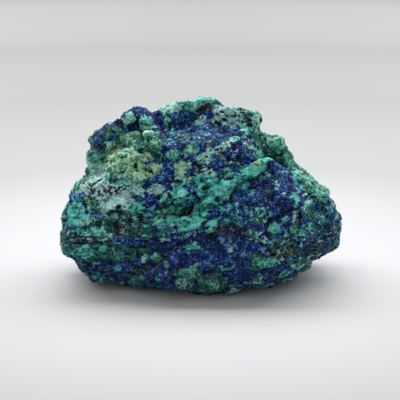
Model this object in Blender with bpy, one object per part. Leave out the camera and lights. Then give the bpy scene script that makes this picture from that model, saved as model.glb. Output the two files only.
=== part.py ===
"""An azurite and malachite hand specimen: one rough lump of ore, about 90 mm wide, resting on a flat broken face.

The lump is massed from convex blocks that are fused, then broken into facets, lumps, grooves and pits, thinned, and
trimmed flat at the floor. Lengths are in millimetres until scaled() turns the finished mesh into metres.
"""

import math

import bmesh
import bpy
from mathutils import Matrix, Vector, noise

NODE_NAME = "azurite_rock"
MM = 0.001

# The lump is drawn upright as (across, depth, up) from its centre, depth negative towards the front,
# and then leans back by this angle, with its centre this high above the floor.
LEAN = math.radians(15.0)
CENTRE_HEIGHT = 24.3

# Meshing: the fused blocks and then the broken skin are each made one even mesh.
FUSE_VOXEL = 1.0
SOFTEN_STEPS = 3
SKIN_VOXEL = 0.75
TRIANGLE_BUDGET = 9700

# How far the broken skin lies inside the blocks.
SKIN_INSET = 1.2

# Broken facets over the whole surface: cell width, tilt of each cell's face, seed offset.
FACETS = (
    (15.0, 0.12, (3.1, 7.7, 1.3)),
    (6.5, 0.13, (8.3, 2.9, 5.1)),
)
# Round nodules over the whole surface: cell width, height, seed offset.
NODULES = (7.0, 1.7, (1.7, 4.1, 9.2))
# Small deep pits over the whole surface: cell width, depth, seed offset, share of cells that hold one.
PITS = (5.5, 1.6, (2.2, 8.8, 4.6), 0.3)

# Each block is a convex hull of three like outlines: a near face, a full middle and a far face.
# name: (near, middle, far, near taper, far taper, outline of (across, up))
BLOCKS = {
    "core": (-22, 0, 22, 0.84, 0.66, (
        (-34, 8), (-31, 17), (-14, 24), (14, 24), (27, 13), (40, 1), (42, -13), (30, -22), (17, -26), (1, -28),
        (-16, -27), (-33, -23), (-41, -14), (-41, -2))),
    "left_hump": (-9, 2, 14, 0.84, 0.72, (
        (-37, 10), (-37, 19.5), (-33.5, 23.5), (-26, 27), (-24, 29), (-20, 31), (-17, 31), (-13, 27), (-12, 8),
        (-29, 5))),
    "crest": (-3, 8, 18, 0.84, 0.72, (
        (-16, 28), (-13, 30), (-8, 32.5), (-3, 34), (5, 34.5), (7, 33), (9, 28), (10, 16), (-13, 16))),
    "top_block": (-6, 3, 15, 0.90, 0.78, (
        (5, 31.5), (9, 31.5), (13, 29.3), (19.4, 29.3), (20.6, 27.5), (20.6, 13), (5, 13))),
    "knob": (-8, 0, 12, 0.82, 0.72, (
        (18, 18), (20.5, 21.7), (25, 21.9), (27.3, 20), (30.5, 13), (29, 9), (20, 8))),
    "right_slope": (-17, 0, 19, 0.74, 0.68, (
        (20, 12), (30, 13.4), (36, 8.8), (41, 5.2), (44, 2.2), (46.3, -4), (46.6, -12), (44, -15.5), (34.5, -22.8),
        (26, -26.8), (14, -14), (11, 3))),
    "diagonal_ledge": (-22, -15, 0, 0.88, 1.00, (
        (-15, -4.5), (-9, 4), (3, 6.5), (13, 11.5), (24, 13), (29, 10), (24, 4), (8, -1), (1, -3), (-9, -5.5))),
    "lower_ledge": (-23, -17, -4, 0.78, 1.00, (
        (-17, -8), (-4, -6), (3, -5), (8, -4), (6, -9), (1, -14), (-10, -15), (-17, -14))),
    "right_dome": (-27.5, -19, 0, 0.66, 0.95, (
        (6, -5), (9, 2), (16, 7), (25, 8), (34, 3), (39, -4), (40, -12), (31, -17), (15, -17), (7, -13))),
    "belly": (-27, -19, 4, 0.80, 0.92, (
        (-16, -15), (-4, -12), (19, -12.5), (32, -14), (35, -18), (29.5, -25.8), (19.5, -28.2), (3, -30),
        (-12, -28.5), (-21, -24))),
    "left_face": (-20, -6, 12, 0.82, 0.84, (
        (-42, 3), (-38, 9), (-30, 11), (-14, 8), (-11, -5), (-15, -12), (-40, -12), (-45.5, -11), (-44, -4))),
    "left_slab": (-21, -6, 10, 0.90, 0.88, (
        (-45.5, -12.5), (-28, -13), (-12, -13.5), (-9, -19), (-19, -21), (-38, -20.5), (-44, -18))),
    "left_end": (-20, -5, 10, 0.92, 0.88, (
        (-44, -8.5), (-44, -15.5), (-28, -17), (-28, -8))),
    "left_foot": (-19, -4, 14, 0.86, 0.82, (
        (-40, -19), (-16, -19), (-9, -29), (-16, -29), (-24, -26.5), (-33, -26.5), (-38.5, -23))),
    "shelf": (-17, -10, 0, 0.84, 1.00, (
        (-31, 13), (-12, 14), (-7, 8), (-15, 3.5), (-30, 4))),
    "back_left": (0, 13, 21, 0.90, 0.66, (
        (-32, 15), (-12, 20), (-2, 2), (-4, -27), (-25, -27), (-34, -20), (-38, -7))),
    "back_right": (0, 14, 30, 0.90, 0.50, (
        (-8, 18), (14, 16), (31, 4), (36, -10), (30, -20), (20, -28), (-8, -28))),
    "back_top": (0, 15, 26, 0.94, 0.62, (
        (-17, 26), (11, 28), (18, 4), (-21, 3))),
}

# Round lumps on the front: across, up, half width, half height, turn in degrees, how far it stands out.
LUMPS = (
    (-15, 17.6, 2.9, 2.7, 0, 3.2), (-20.8, 18.6, 3.2, 2.6, 10, 3.2), (-23, 26, 2.4, 2.0, 0, 2.4),
    (-17, 25, 3.2, 2.0, -20, 2.7), (-31, 19, 3.2, 2.4, 40, 1.9), (-10, 26, 3.0, 2.6, 0, 2.2),
    (-22.5, 12.5, 6.5, 2.4, -8, 2.4), (-18.5, 7, 6.0, 2.8, 8, 3.2), (-26.5, 7.5, 3.8, 2.4, 0, 1.9),
    (-9, 15, 2.2, 2.0, 0, 2.2), (-3.2, 16.6, 2.2, 1.8, 0, 1.9), (-33, 4, 4.0, 2.8, 30, 1.9),
    (-25, -1.5, 5.5, 2.6, 10, 2.7), (-38, -6, 4.2, 5.0, 0, 3.5), (-29, -8, 4.4, 2.0, 0, 1.4),
    (19.5, 11.4, 5.0, 1.9, 14, 3.0), (9, 5.6, 6.0, 2.3, 25, 3.2), (3.2, 1.6, 3.0, 2.2, 20, 2.4),
    (-4.4, 1.8, 4.4, 1.9, 25, 2.7), (-10, -1, 3.0, 1.6, 20, 1.9), (1.8, -2.6, 2.6, 2.2, 0, 2.7),
    (-6.5, -8.2, 6.6, 2.4, 14, 2.2), (14, -1, 3.6, 3.0, 0, 2.2), (24, 2, 4.0, 3.2, -20, 2.2),
    (31, -4, 4.0, 3.0, -30, 2.2), (17, -9, 4.4, 2.6, 10, 2.2), (33, -10, 4.4, 2.4, 10, 1.9),
    (38, 1, 3.0, 2.0, -35, 1.6), (-3.2, -23.8, 3.2, 2.9, 0, 3.0), (3.6, -26, 3.4, 2.3, 0, 2.7),
    (21, -19, 4.2, 2.2, 10, 2.4), (9, -19, 4.6, 2.6, 0, 1.9), (-11.5, -23, 3.2, 2.6, 0, 2.2),
    (-30, -16.5, 7.0, 2.6, 0, 1.6), (-18, -24, 3.6, 2.4, 0, 1.9), (23.8, 16.4, 3.8, 3.8, 0, 2.4),
    (12, 22, 4.4, 2.6, -30, 2.2), (2, 22, 4.6, 2.4, -10, 1.9), (4, 13, 5.0, 2.2, 25, 1.9),
)

# Grooves on the front: half width, depth, then the points of (across, up) that it runs through.
GROOVES = (
    (1.2, 1.8, ((-47, -12.6), (-37, -12.2), (-29, -12.2), (-21, -12.6), (-13, -13.6))),
    (2.3, 7.0, ((-8.8, -4.2), (-4.9, -3.8), (-1.4, -2.0))),
    (1.4, 2.0, ((-13, -5.5), (-8.8, -4.2), (-1.4, -2.0), (1, 0.6), (5, 1.6))),
    (1.8, 2.6, ((18, -7.6), (22.5, -6.2), (27.5, -4.2))),
    (2.4, 1.5, ((-1, -13.4), (3, -11.4), (8, -8.4))),
    (1.3, 1.2, ((-14, -13.5), (0.8, -12.8), (10, -14.0), (22, -15.4), (30, -14.6))),
    (1.5, 2.0, ((29, -14.6), (36.5, -13.2), (48, -11.6))),
    (1.6, 2.4, ((6, 8.0), (13, 11.0), (19, 13.8), (25, 14.0))),
    (2.2, 2.8, ((-26, 20), (-21, 15.4), (-16, 13.4), (-12, 12.6))),
    (1.8, 1.6, ((-20, 3.2), (-12, 6.0), (-6.5, 9.4), (-2, 11.2), (6, 13.0))),
    (2.2, 2.2, ((-6, 25.6), (-1.6, 28.4), (3.6, 30.6), (7, 31))),
    (1.7, 2.4, ((18.4, 20.6), (19.2, 16), (22.6, 12.6), (29, 12.0))),
    (3.0, 2.6, ((-30, -5.0), (-23, -6.6), (-15, -8.2))),
    (1.8, 2.0, ((-38, 12), (-33, 10), (-29, 9.6))),
    (1.6, 1.8, ((-12.5, 29), (-11.5, 22), (-9, 18.5))),
    (1.6, 2.2, ((-38, -20.8), (-28, -20.4), (-18, -20.0), (-11, -18.4))),
)

# Bedding ledges round the sides and the back: spacing, depth and how far the beds waver.
BEDS = (8.5, 1.5, 5.0)


def leaned(across, depth, up):
    """A point of the upright drawing, tilted back and stood above the floor."""
    point = Matrix.Rotation(-LEAN, 3, "X") @ Vector((across, depth, up))
    return point + Vector((0, 0, CENTRE_HEIGHT))


def upright(point):
    """The (across, depth, up) of a point of the leaning lump."""
    return Matrix.Rotation(LEAN, 3, "X") @ (point - Vector((0, 0, CENTRE_HEIGHT)))


def smoothstep(low, high, value):
    """0 below low, 1 above high, and an easy curve between them."""
    share = min(max((value - low) / (high - low), 0.0), 1.0)
    return share * share * (3 - 2 * share)


def block_mesh(target, near, middle, far, near_taper, far_taper, outline):
    """Adds one convex block to the bmesh."""
    centre = sum((Vector(point) for point in outline), Vector((0, 0))) / len(outline)
    corners = []
    for depth, taper in ((near, near_taper), (middle, 1.0), (far, far_taper)):
        for point in outline:
            across, up = centre + (Vector(point) - centre) * taper
            corners.append(target.verts.new(leaned(across, depth, up)))
    hull = bmesh.ops.convex_hull(target, input=corners)
    inside = {v for v in hull["geom_interior"] + hull["geom_unused"] if isinstance(v, bmesh.types.BMVert)}
    bmesh.ops.delete(target, geom=list(inside), context="VERTS")


def massed_blocks():
    """All the blocks in one mesh, overlapping."""
    shape = bmesh.new()
    for sizes in BLOCKS.values():
        block_mesh(shape, *sizes)
    mesh = bpy.data.meshes.new("massed_blocks")
    shape.to_mesh(mesh)
    shape.free()
    return mesh


def fused(mesh, voxel_size, soften_steps):
    """Whatever overlaps in the mesh as one closed, even skin, with its edges softened."""
    helper = bpy.data.objects.new("helper", mesh)
    bpy.context.scene.collection.objects.link(helper)
    fuse = helper.modifiers.new("fuse", "REMESH")
    fuse.mode = "VOXEL"
    fuse.voxel_size = voxel_size
    soften = helper.modifiers.new("soften", "SMOOTH")
    soften.iterations = soften_steps
    graph = bpy.context.evaluated_depsgraph_get()
    result = bpy.data.meshes.new_from_object(helper.evaluated_get(graph), depsgraph=graph)
    bpy.data.objects.remove(helper)
    return result


def facet_height(point, width, tilt, offset):
    """How far a point moves out, where each cell of the surface is a flat face with its own tilt."""
    place = point / width + Vector(offset)
    cell = noise.voronoi(place)[1][0]
    lean = noise.cell_vector(cell * 13.7) * 2 - Vector((1, 1, 1))
    return (place - cell).dot(lean) * tilt * width


def nodule_height(point, width, height, offset):
    """Rounded cells with creases between them, stronger in some areas than in others."""
    place = point / width + Vector(offset)
    nearest, second = noise.voronoi(place)[0][:2]
    crease = smoothstep(0.0, 0.45, second - nearest)
    strength = 0.35 + 0.65 * smoothstep(-0.2, 0.3, noise.noise(place * 0.31))
    return (crease - 0.6) * height * strength


def pit_depth(point, width, depth, offset, share):
    """Round pits in some of the cells."""
    place = point / width + Vector(offset)
    distances, cells = noise.voronoi(place)
    if noise.cell(cells[0] * 7.3) > share:
        return 0.0
    return depth * (1 - smoothstep(0.12, 0.42, distances[0]))


def bed_height(place, spacing, depth, waver):
    """Stepped ledges, level along the lump, on the faces that aren't drawn in detail."""
    level = place.z + noise.noise(place / 14.0) * waver
    step = (level / spacing) % 1.0
    return (smoothstep(0.0, 0.18, step) - step - 0.4) * depth


def lump_height(place, across, up, half_width, half_height, turn, height):
    """A round lump's height above the front at this place."""
    offset = Matrix.Rotation(-math.radians(turn), 2) @ Vector((place.x - across, place.z - up))
    distance = math.hypot(offset.x / half_width, offset.y / half_height)
    return height * max(0.0, 1 - distance * distance) ** 0.8


def groove_depth(place, half_width, depth, points):
    """A groove's depth below the front at this place, shallower towards its two ends."""
    flat = Vector((place.x, place.z))
    nearest = min(distance_to_run(flat, Vector(a), Vector(b)) for a, b in zip(points, points[1:]))
    return depth * (1 - smoothstep(0.15, 1.0, nearest / half_width))


def distance_to_run(flat, start, end):
    """The distance from a point to a straight run."""
    along = end - start
    share = min(max((flat - start).dot(along) / along.length_squared, 0.0), 1.0)
    return (flat - start - along * share).length


def skin_move(point, normal):
    """How far the skin moves out at this point."""
    height = sum(facet_height(point, *facet) for facet in FACETS)
    height += nodule_height(point, *NODULES)
    height -= pit_depth(point, *PITS) + SKIN_INSET
    place = upright(point)
    facing = smoothstep(0.0, 0.35, -(Matrix.Rotation(LEAN, 3, "X") @ normal).y)
    height += (1 - facing) * bed_height(place, *BEDS)
    if facing > 0:
        height += facing * max(lump_height(place, *lump) for lump in LUMPS)
        height -= facing * max(groove_depth(place, *groove) for groove in GROOVES)
    return height


def roughened(mesh):
    """Moves each point of the skin out or in along its normal."""
    moved = [vertex.co + vertex.normal * skin_move(vertex.co, vertex.normal) for vertex in mesh.vertices]
    for vertex, place in zip(mesh.vertices, moved):
        vertex.co = place
    return mesh


def scaled(mesh):
    """Millimetres to metres."""
    mesh.transform(Matrix.Scale(MM, 4))
    return mesh


def rock_material():
    """Blue-green ore, seen from a distance."""
    material = bpy.data.materials.new("azurite_ore")
    material.use_nodes = True
    shader = material.node_tree.nodes["Principled BSDF"]
    shader.inputs["Base Color"].default_value = (0.035, 0.13, 0.20, 1.0)
    shader.inputs["Roughness"].default_value = 0.6
    shader.inputs["Metallic"].default_value = 0.0
    return material


def floor_cutter():
    """A slab that takes away everything below the floor."""
    size = 200 * MM
    mesh = bpy.data.meshes.new("floor_cutter")
    shape = bmesh.new()
    bmesh.ops.create_cube(shape, size=size, matrix=Matrix.Translation((0, 0, -size / 2)))
    shape.to_mesh(mesh)
    shape.free()
    cutter = bpy.data.objects.new("floor_cutter", mesh)
    cutter.hide_render = True
    cutter.display_type = "WIRE"
    bpy.context.scene.collection.objects.link(cutter)
    return cutter


def rock():
    """The finished specimen, as one object at the world's origin."""
    lump = fused(massed_blocks(), FUSE_VOXEL, SOFTEN_STEPS)
    mesh = scaled(fused(roughened(lump), SKIN_VOXEL, 0))
    specimen = bpy.data.objects.new(NODE_NAME, mesh)
    mesh.materials.append(rock_material())
    bpy.context.scene.collection.objects.link(specimen)
    mesh.calc_loop_triangles()
    thin = specimen.modifiers.new("thin", "DECIMATE")
    thin.ratio = TRIANGLE_BUDGET / len(mesh.loop_triangles)
    trim = specimen.modifiers.new("trim", "BOOLEAN")
    trim.operation = "DIFFERENCE"
    trim.object = floor_cutter()
    return specimen


def main():
    for obj in list(bpy.data.objects):
        bpy.data.objects.remove(obj)
    rock()


main()
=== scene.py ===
"""The looks of an azurite and malachite hand specimen: a finely broken skin over the rock's solid, with its
minerals laid out in patches, and azurite crystals, malachite grains and pale crust grains grown on it."""

import math

import bmesh
import bpy
import numpy as np
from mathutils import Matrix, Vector, noise
from mathutils.bvhtree import BVHTree


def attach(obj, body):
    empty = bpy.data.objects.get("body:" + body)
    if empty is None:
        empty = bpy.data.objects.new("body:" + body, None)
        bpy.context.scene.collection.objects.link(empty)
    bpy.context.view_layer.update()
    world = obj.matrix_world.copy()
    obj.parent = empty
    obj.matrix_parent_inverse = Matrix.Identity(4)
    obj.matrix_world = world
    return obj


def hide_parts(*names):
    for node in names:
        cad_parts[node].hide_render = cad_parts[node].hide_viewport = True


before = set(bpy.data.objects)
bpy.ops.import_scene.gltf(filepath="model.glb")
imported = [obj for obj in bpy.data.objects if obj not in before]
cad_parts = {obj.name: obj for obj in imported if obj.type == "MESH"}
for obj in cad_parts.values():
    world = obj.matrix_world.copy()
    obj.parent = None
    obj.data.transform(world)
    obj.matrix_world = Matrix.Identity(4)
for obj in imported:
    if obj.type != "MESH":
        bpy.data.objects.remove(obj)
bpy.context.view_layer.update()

NODE = "azurite_rock"
BODY = "root"
MM = 0.001

# The camera: a frame of 400 by 400 pixels, whose focal length in pixels is PIXELS_PER_TAN.
FRAME_PIXELS = 400
LENS_MM = 135.0
SENSOR_MM = 36.0
ELEVATION = math.radians(15.0)
DISTANCE = 0.480
LOOK_AT = Vector((0.0, 0.0, 0.0243))
NEAR_CLIP = 0.01
PIXELS_PER_TAN = LENS_MM / SENSOR_MM * FRAME_PIXELS

BACK = Vector((0.0, -math.cos(ELEVATION), math.sin(ELEVATION)))
RIGHT = Vector((1.0, 0.0, 0.0))
UP = BACK.cross(RIGHT)
EYE = LOOK_AT + BACK * DISTANCE

# The light: a long soft lamp over and behind the rock, a broad weak one in front, and an even glow from the
# room. place, length, width, watts
LAMPS = {
    "softbox": (Vector((0.0, 0.26, 0.48)), 1.5, 0.35, 9.6),
    "front_fill": (Vector((-0.08, -0.80, 0.52)), 1.1, 0.6, 3.0),
}
LAMP_AIM = Vector((0.0, 0.0, 0.02))
ROOM_TINT = (0.95, 0.98, 1.0, 1.0)
ROOM_LIGHT = 0.37

FLOOR_SIZE = 6.0
FLOOR_ROUGHNESS = 0.8
FLOOR_SHEEN = 0.1

# Painted light on the floor: its greys by the distance from its middle in metres, lighter near the rock,
# darker between and lighter far out, as the fall of light and shadow would make it.
FLOOR_PAINTED_LIGHT = (
    (0.00, (0.72, 0.72, 0.73)),
    (0.035, (0.55, 0.55, 0.56)),
    (0.09, (0.46, 0.46, 0.47)),
    (0.15, (0.355, 0.355, 0.355)),
    (0.29, (0.32, 0.32, 0.32)),
    (0.45, (0.39, 0.39, 0.39)),
    (0.65, (0.75, 0.75, 0.75)),
)

# The skin's mesh: an even grid of this cell, relaxed so that the solid's flat facets don't show.
SKIN_CELL = 0.525 * MM
SKIN_RELAX = 6
WELD = 0.001 * MM              # the distance within which the solid's corners are one

# The noise that shapes the skin and its minerals: widths and heights in mm.
BED_TILT = math.radians(25)    # the rise of the rock's bedding to the right
BED_STRETCH = (0.65, 0.75, 1.4)     # along the beds, in depth and across them
BEND = (2.6, 0.45)             # width and size of the bends that make the edges of patches ragged
BROAD_RELIEF = (4.5, 0.45)     # width and height of the broad unevenness all over
FAR_RELIEF = (5.0, 0.9)        # width and height of the ribs on the sides that the forms below don't reach
FAR_SIDE = (0.15, -0.35)       # how far a face looks to the camera where the ribs begin and are whole
PATCH_GRAIN = (1.3, 4)         # width and octaves of the clouds in which a mineral breaks up
FLOOR_BAND = 1.2               # height above the floor over which the relief fades out
HOLLOW_STEPS = 8               # steps of the grid over which a point is set against what is around it
FRACTAL = (0.9, 2.0)           # how fast a cloud's octaves grow fainter, and how much finer each is
SEED_START = (0.0, 3.7, 1.3)
SEED_STEP = (17.3, 5.1, 9.7)   # how far apart in the noise two seeds lie
TILT_STEP = 13.7               # how far apart in the noise the tilts of two facets lie
SEEDS = {"broad": 7, "far": 9, "grain": 40, "ground": 60, "bend": 80, "relief": 100}
RELIEF_SEEDS = 10              # seeds kept for the reliefs of one mineral

# How a patch or a form ends, as shares of its size: where it has run out, and where it is whole. In depth it
# goes on for three times its half size and 2 mm more, so that it covers what bulges under it.
PATCH_EDGE = (1.25, 0.85)
FORM_EDGE = (1.4, 0.1)
FAR_OFF = 9.0                  # the reach of what a patch or a form doesn't touch
DEPTH_SHARE = 3
DEPTH_MORE = 2.0

# How a mineral that covers a share of the ground breaks up.
COVER_STRETCH = 1.1            # a full share leaves nothing bare
COVER_BLUR = 0.12              # softness of the edge of each cloud
COVER_FAINT = 0.15             # a share below this fades out
GROUND_BLUR = 0.04             # softness of the edge of each cloud of the ground

CREASE = 1.6                   # steepness of the creases between nodules
NODULE_MEAN = 0.6              # the height in a nodule that lies on the skin
TRACE = 0.03                   # the share of a mineral that is too small for relief

MINERALS = (
    "azurite", "royal", "frost", "teal", "jade", "mint", "green", "bottle", "crust", "lime", "soot", "ochre",
)

# Ground of the whole skin, laid over teal in this order and drawn out along the rock's beds.
# mineral, share of the skin, width of its clouds in mm, share of a cloud that it covers
GROUND = (
    ("azurite", 0.50, 10.0, 1.00),
    ("bottle", 0.26, 8.0, 1.00),
    ("mint", 0.17, 7.0, 0.90),
    ("green", 0.14, 6.0, 1.00),
    ("crust", 0.10, 7.0, 0.95),
    ("lime", 0.06, 6.0, 1.00),
    ("jade", 0.14, 5.0, 1.00),
    ("royal", 0.28, 6.0, 0.85),
    ("azurite", 0.10, 3.0, 0.90),
    ("frost", 0.06, 3.0, 0.70),
    ("soot", 0.07, 3.0, 0.80),
    ("ochre", 0.015, 2.0, 0.80),
)

# Soot patches are the rock's dark specks, and where they lie in crevices, under ledges and over dark faces
# they are painted shade as well.
# Patches of mineral on the front, area by area, each laid over those before it: a mineral, then its patches.
# A patch is the share of it that is covered, per cent, and then an oval or a band, in pixels of the camera's
# frame. An oval is its column, row, half width and half height, and its turn in degrees where it has one.
# A band is half its width, and then each (column, row) that it runs along.
FACE_PATCHES = (
    ("azurite", (75, 190, 140, 66, 32, 10), (90, 250, 205, 56, 34, 20)),
    ("bottle", (60, 115, 140, 26, 20, 20)),
    ("lime", (66, 125, 168, 36, 18)),
    ("crust", (76, 105, 190, 36, 14, -5)),
    ("bottle", (85, 115, 228, 46, 20)),
    ("azurite", (92, 180, 262, 105, 26), (60, 315, 222, 30, 34)),
    ("bottle", (50, 190, 205, 40, 20, 20)),
    ("teal", (81, 190, 205, 42, 22, 20)),
)
CREST_PATCHES = (
    ("mint", (99, 7.5, (152, 114), (160, 114), (168, 111), (178, 107), (190, 105))),
    ("lime", (46, 4, (154, 114), (163, 113), (172, 109), (186, 106))),
    ("crust", (52, 6, (154, 114), (163, 112))),
    ("teal", (97, 5.5, (188, 104), (198, 102), (208, 100), (216, 101))),
    ("jade", (61, 4, (190, 103), (205, 100), (216, 101))),
    ("mint", (46, 3, (180, 104), (195, 103), (210, 99)), (97, 190, 107, 9, 7, 10)),
    ("jade", (60, 191, 108, 8, 6, 10)),
    ("teal", (46, 192, 108, 7, 5, 10)),
    ("mint", (76, 1.6, (186, 103), (195, 101))),
    ("soot", (90, 182, 106, 1.5, 1.2)),
    ("jade", (45, 193, 105.5, 12, 4, 10)),
    ("mint", (40, 4, (188, 104), (203, 101), (214, 100))),
    ("lime", (91, 208, 103, 3.5, 2)),
    ("soot", (80, 2.4, (193.5, 117.5), (198.5, 111), (203, 107), (208, 105.5)),
     (97, 217, 102.5, 4.5, 2.4, -20), (95, 210.5, 109.5, 3, 2.6), (92, 203.4, 106.6, 2.8, 2.4),
     (88, 198.8, 110.4, 3.2, 2.2, 40), (95, 194.6, 115, 3.2, 2.8), (92, 192.4, 119, 2.2, 2),
     (90, 197, 121, 1.8, 2), (60, 203.5, 112.4, 2, 1.4), (80, 208, 105, 2, 1.4)),
)
SPECKLED_BLOCK_PATCHES = (
    ("crust", (95, 226, 116, 15, 11, -10), (95, 237, 123, 8, 10, 40), (96, 216, 121, 6, 6)),
    ("royal", (85, 231, 110, 4, 1.6, -20)),
    ("crust", (35, 229, 117, 15, 11, -10)),
    ("mint", (30, 229, 117, 15, 11, -10)),
    ("soot", (97, 221.5, 111.5, 1.8, 1.6), (92, 217, 115, 2.7, 1.1, 10), (85, 224, 120, 2.3, 1.3, -10),
     (85, 226, 115.5, 1.8, 0.9), (95, 231.5, 116.5, 2.1, 1.3), (92, 235.8, 116.5, 1.5, 1.5),
     (90, 235, 112.3, 1.8, 1.4, -20), (90, 216.5, 121.5, 1.8, 1.4), (93, 219, 124, 2.3, 1.5, -20),
     (80, 213.5, 124.5, 1.6, 1.3), (85, 237, 125.5, 1.3, 1.2), (90, 239, 128, 1.3, 1.3),
     (90, 241.5, 134, 3.2, 1.3, -15)),
    ("crust", (95, 2.2, (231, 107.5), (237, 110), (243, 112))),
    ("mint", (96, 246, 114.5, 3.4, 2.4)),
    ("soot", (75, 242.5, 113.5, 1.8, 1.2)),
    ("green", (100, 5, (251, 113), (257, 115), (257.5, 124), (257, 132))),
    ("mint", (72, 256, 121, 5, 10), (96, 245, 129, 3.4, 6, 35)),
    ("lime", (25, 256, 122, 4, 8)),
    ("bottle", (25, 253, 126, 2, 6, 10)),
    ("teal", (56, 246, 130, 3, 5, 35)),
    ("soot", (80, 245.5, 120.8, 4.2, 1.4, -5), (60, 1.2, (244, 115), (248, 119), (250, 124), (250.5, 127))),
    ("ochre", (30, 246, 120.8, 4, 1.4)),
)
BLUE_SLOPE_PATCHES = (
    ("azurite", (97, 5, (152, 115), (158, 120), (160, 130))),
    ("royal", (45, 163, 122, 4, 8)),
    ("azurite", (95, 163, 124, 4, 8)),
    ("royal", (45, 163, 120, 3, 5)),
    ("mint", (96, 168, 112, 5, 4)),
    ("teal", (95, 169, 119, 4, 5)),
    ("bottle", (80, 169, 124.5, 3.8, 5)),
    ("azurite", (98, 180, 123, 9, 9)),
    ("royal", (85, 181, 116.5, 7.6, 4.5), (45, 191, 117, 3.4, 6), (95, 209, 116, 4.6, 3.4, 20)),
    ("frost", (30, 182, 113.5, 4, 2.5)),
    ("crust", (76, 203, 117.5, 2.8, 1.8)),
    ("frost", (80, 203, 123.5, 8, 4.5)),
    ("mint", (51, 200, 122, 5, 3)),
    ("lime", (91, 200.5, 128, 1.8, 1.3)),
    ("royal", (55, 200, 131, 9, 3.4), (95, 3.4, (215, 131), (226, 129.5), (237, 130.5))),
    ("azurite", (60, 3.4, (216, 131), (227, 130), (237, 131)), (97, 4.5, (220, 129), (221, 142))),
    ("royal", (50, 221, 137, 4, 6)),
    ("soot", (35, 175, 137, 10, 4.5)),
    ("azurite", (45, 214, 133, 26, 8)),
    ("royal", (20, 190, 136, 26, 9)),
    ("frost", (13, 190, 138, 28, 10)),
    ("crust", (9, 184, 140, 26, 10)),
    ("soot", (16, 205, 135, 32, 10), (97, 191.5, 138.7, 1.8, 1.6)),
    ("ochre", (55, 187, 136, 3, 1.8), (60, 179.5, 135.2, 1.5, 1.1), (85, 163.5, 134.7, 1.3, 1.6),
     (95, 208, 143.4, 2.8, 1.4, 30), (70, 204.3, 139.8, 1.2, 1.7), (60, 200.7, 142, 1, 1.3)),
    ("bottle", (40, 186, 136, 3.4, 2)),
    ("royal", (60, 172, 144.5, 9, 4)),
    ("frost", (45, 172, 145, 8, 3.6), (85, 172, 146.3, 4.4, 3)),
    ("soot", (85, 180, 144, 1.3, 1.5), (90, 211, 144.5, 1.6, 1.4)),
    ("azurite", (99, 204, 147.5, 6.2, 4.4)),
    ("soot", (45, 206, 147, 4, 4)),
    ("royal", (60, 200, 150, 3, 3.5)),
    ("green", (100, 173.5, 155, 6.2, 5.4), (100, 190, 149.7, 5.6, 4.6)),
    ("teal", (56, 173.5, 155, 6, 5), (86, 197, 148.5, 1.8, 4)),
    ("mint", (81, 182.5, 152, 2.6, 2.4), (81, 185.5, 156, 3, 2)),
    ("azurite", (90, 165, 151, 2.4, 5)),
    ("royal", (98, 1.9, (179, 160.3), (190, 157.5), (200, 152.5))),
    ("mint", (86, 4, (200, 158), (208, 154), (214, 151))),
    ("crust", (62, 3.4, (204, 156), (213, 151), (222, 146.5), (231, 142.5))),
    ("mint", (34, 3.4, (204, 156), (213, 151), (222, 146.5), (231, 142.5))),
    ("lime", (66, 2.4, (214, 150.5), (225, 148))),
    ("royal", (22, 4, (204, 156), (213, 151), (222, 146.5), (235, 141))),
    ("ochre", (92, 219.5, 155.3, 2.6, 1.3), (70, 222, 158, 1.6, 1.3)),
    ("mint", (92, 235, 138.8, 5.6, 2.6, 15)),
    ("teal", (55, 235.5, 138.8, 5, 2.4, 15)),
    ("soot", (95, 233, 143.8, 2.4, 1.1), (80, 242, 146.5, 1.8, 1.3)),
    ("crust", (42, 248, 141, 9, 6.5)),
    ("frost", (35, 248, 140, 8, 6)),
    ("royal", (75, 250, 137, 4, 2.6), (75, 254, 141, 2.4, 3.6)),
    ("ochre", (80, 249, 143.8, 2, 1.3)),
    ("mint", (76, 258, 142, 2.6, 6)),
    ("azurite", (98, 241, 154, 12, 7.5, 15)),
    ("royal", (80, 248, 156.5, 4.6, 3.6)),
    ("frost", (95, 1.8, (233.5, 156), (237, 149.5))),
    ("soot", (60, 1.8, (233, 162), (240, 156))),
    ("crust", (56, 252.5, 151.5, 5.4, 4.4)),
    ("bottle", (30, 252.5, 151.5, 5.4, 4.4)),
    ("soot", (92, 251.8, 152.3, 1.7, 2.2), (85, 255, 153.6, 1.1, 1.3)),
)
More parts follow.
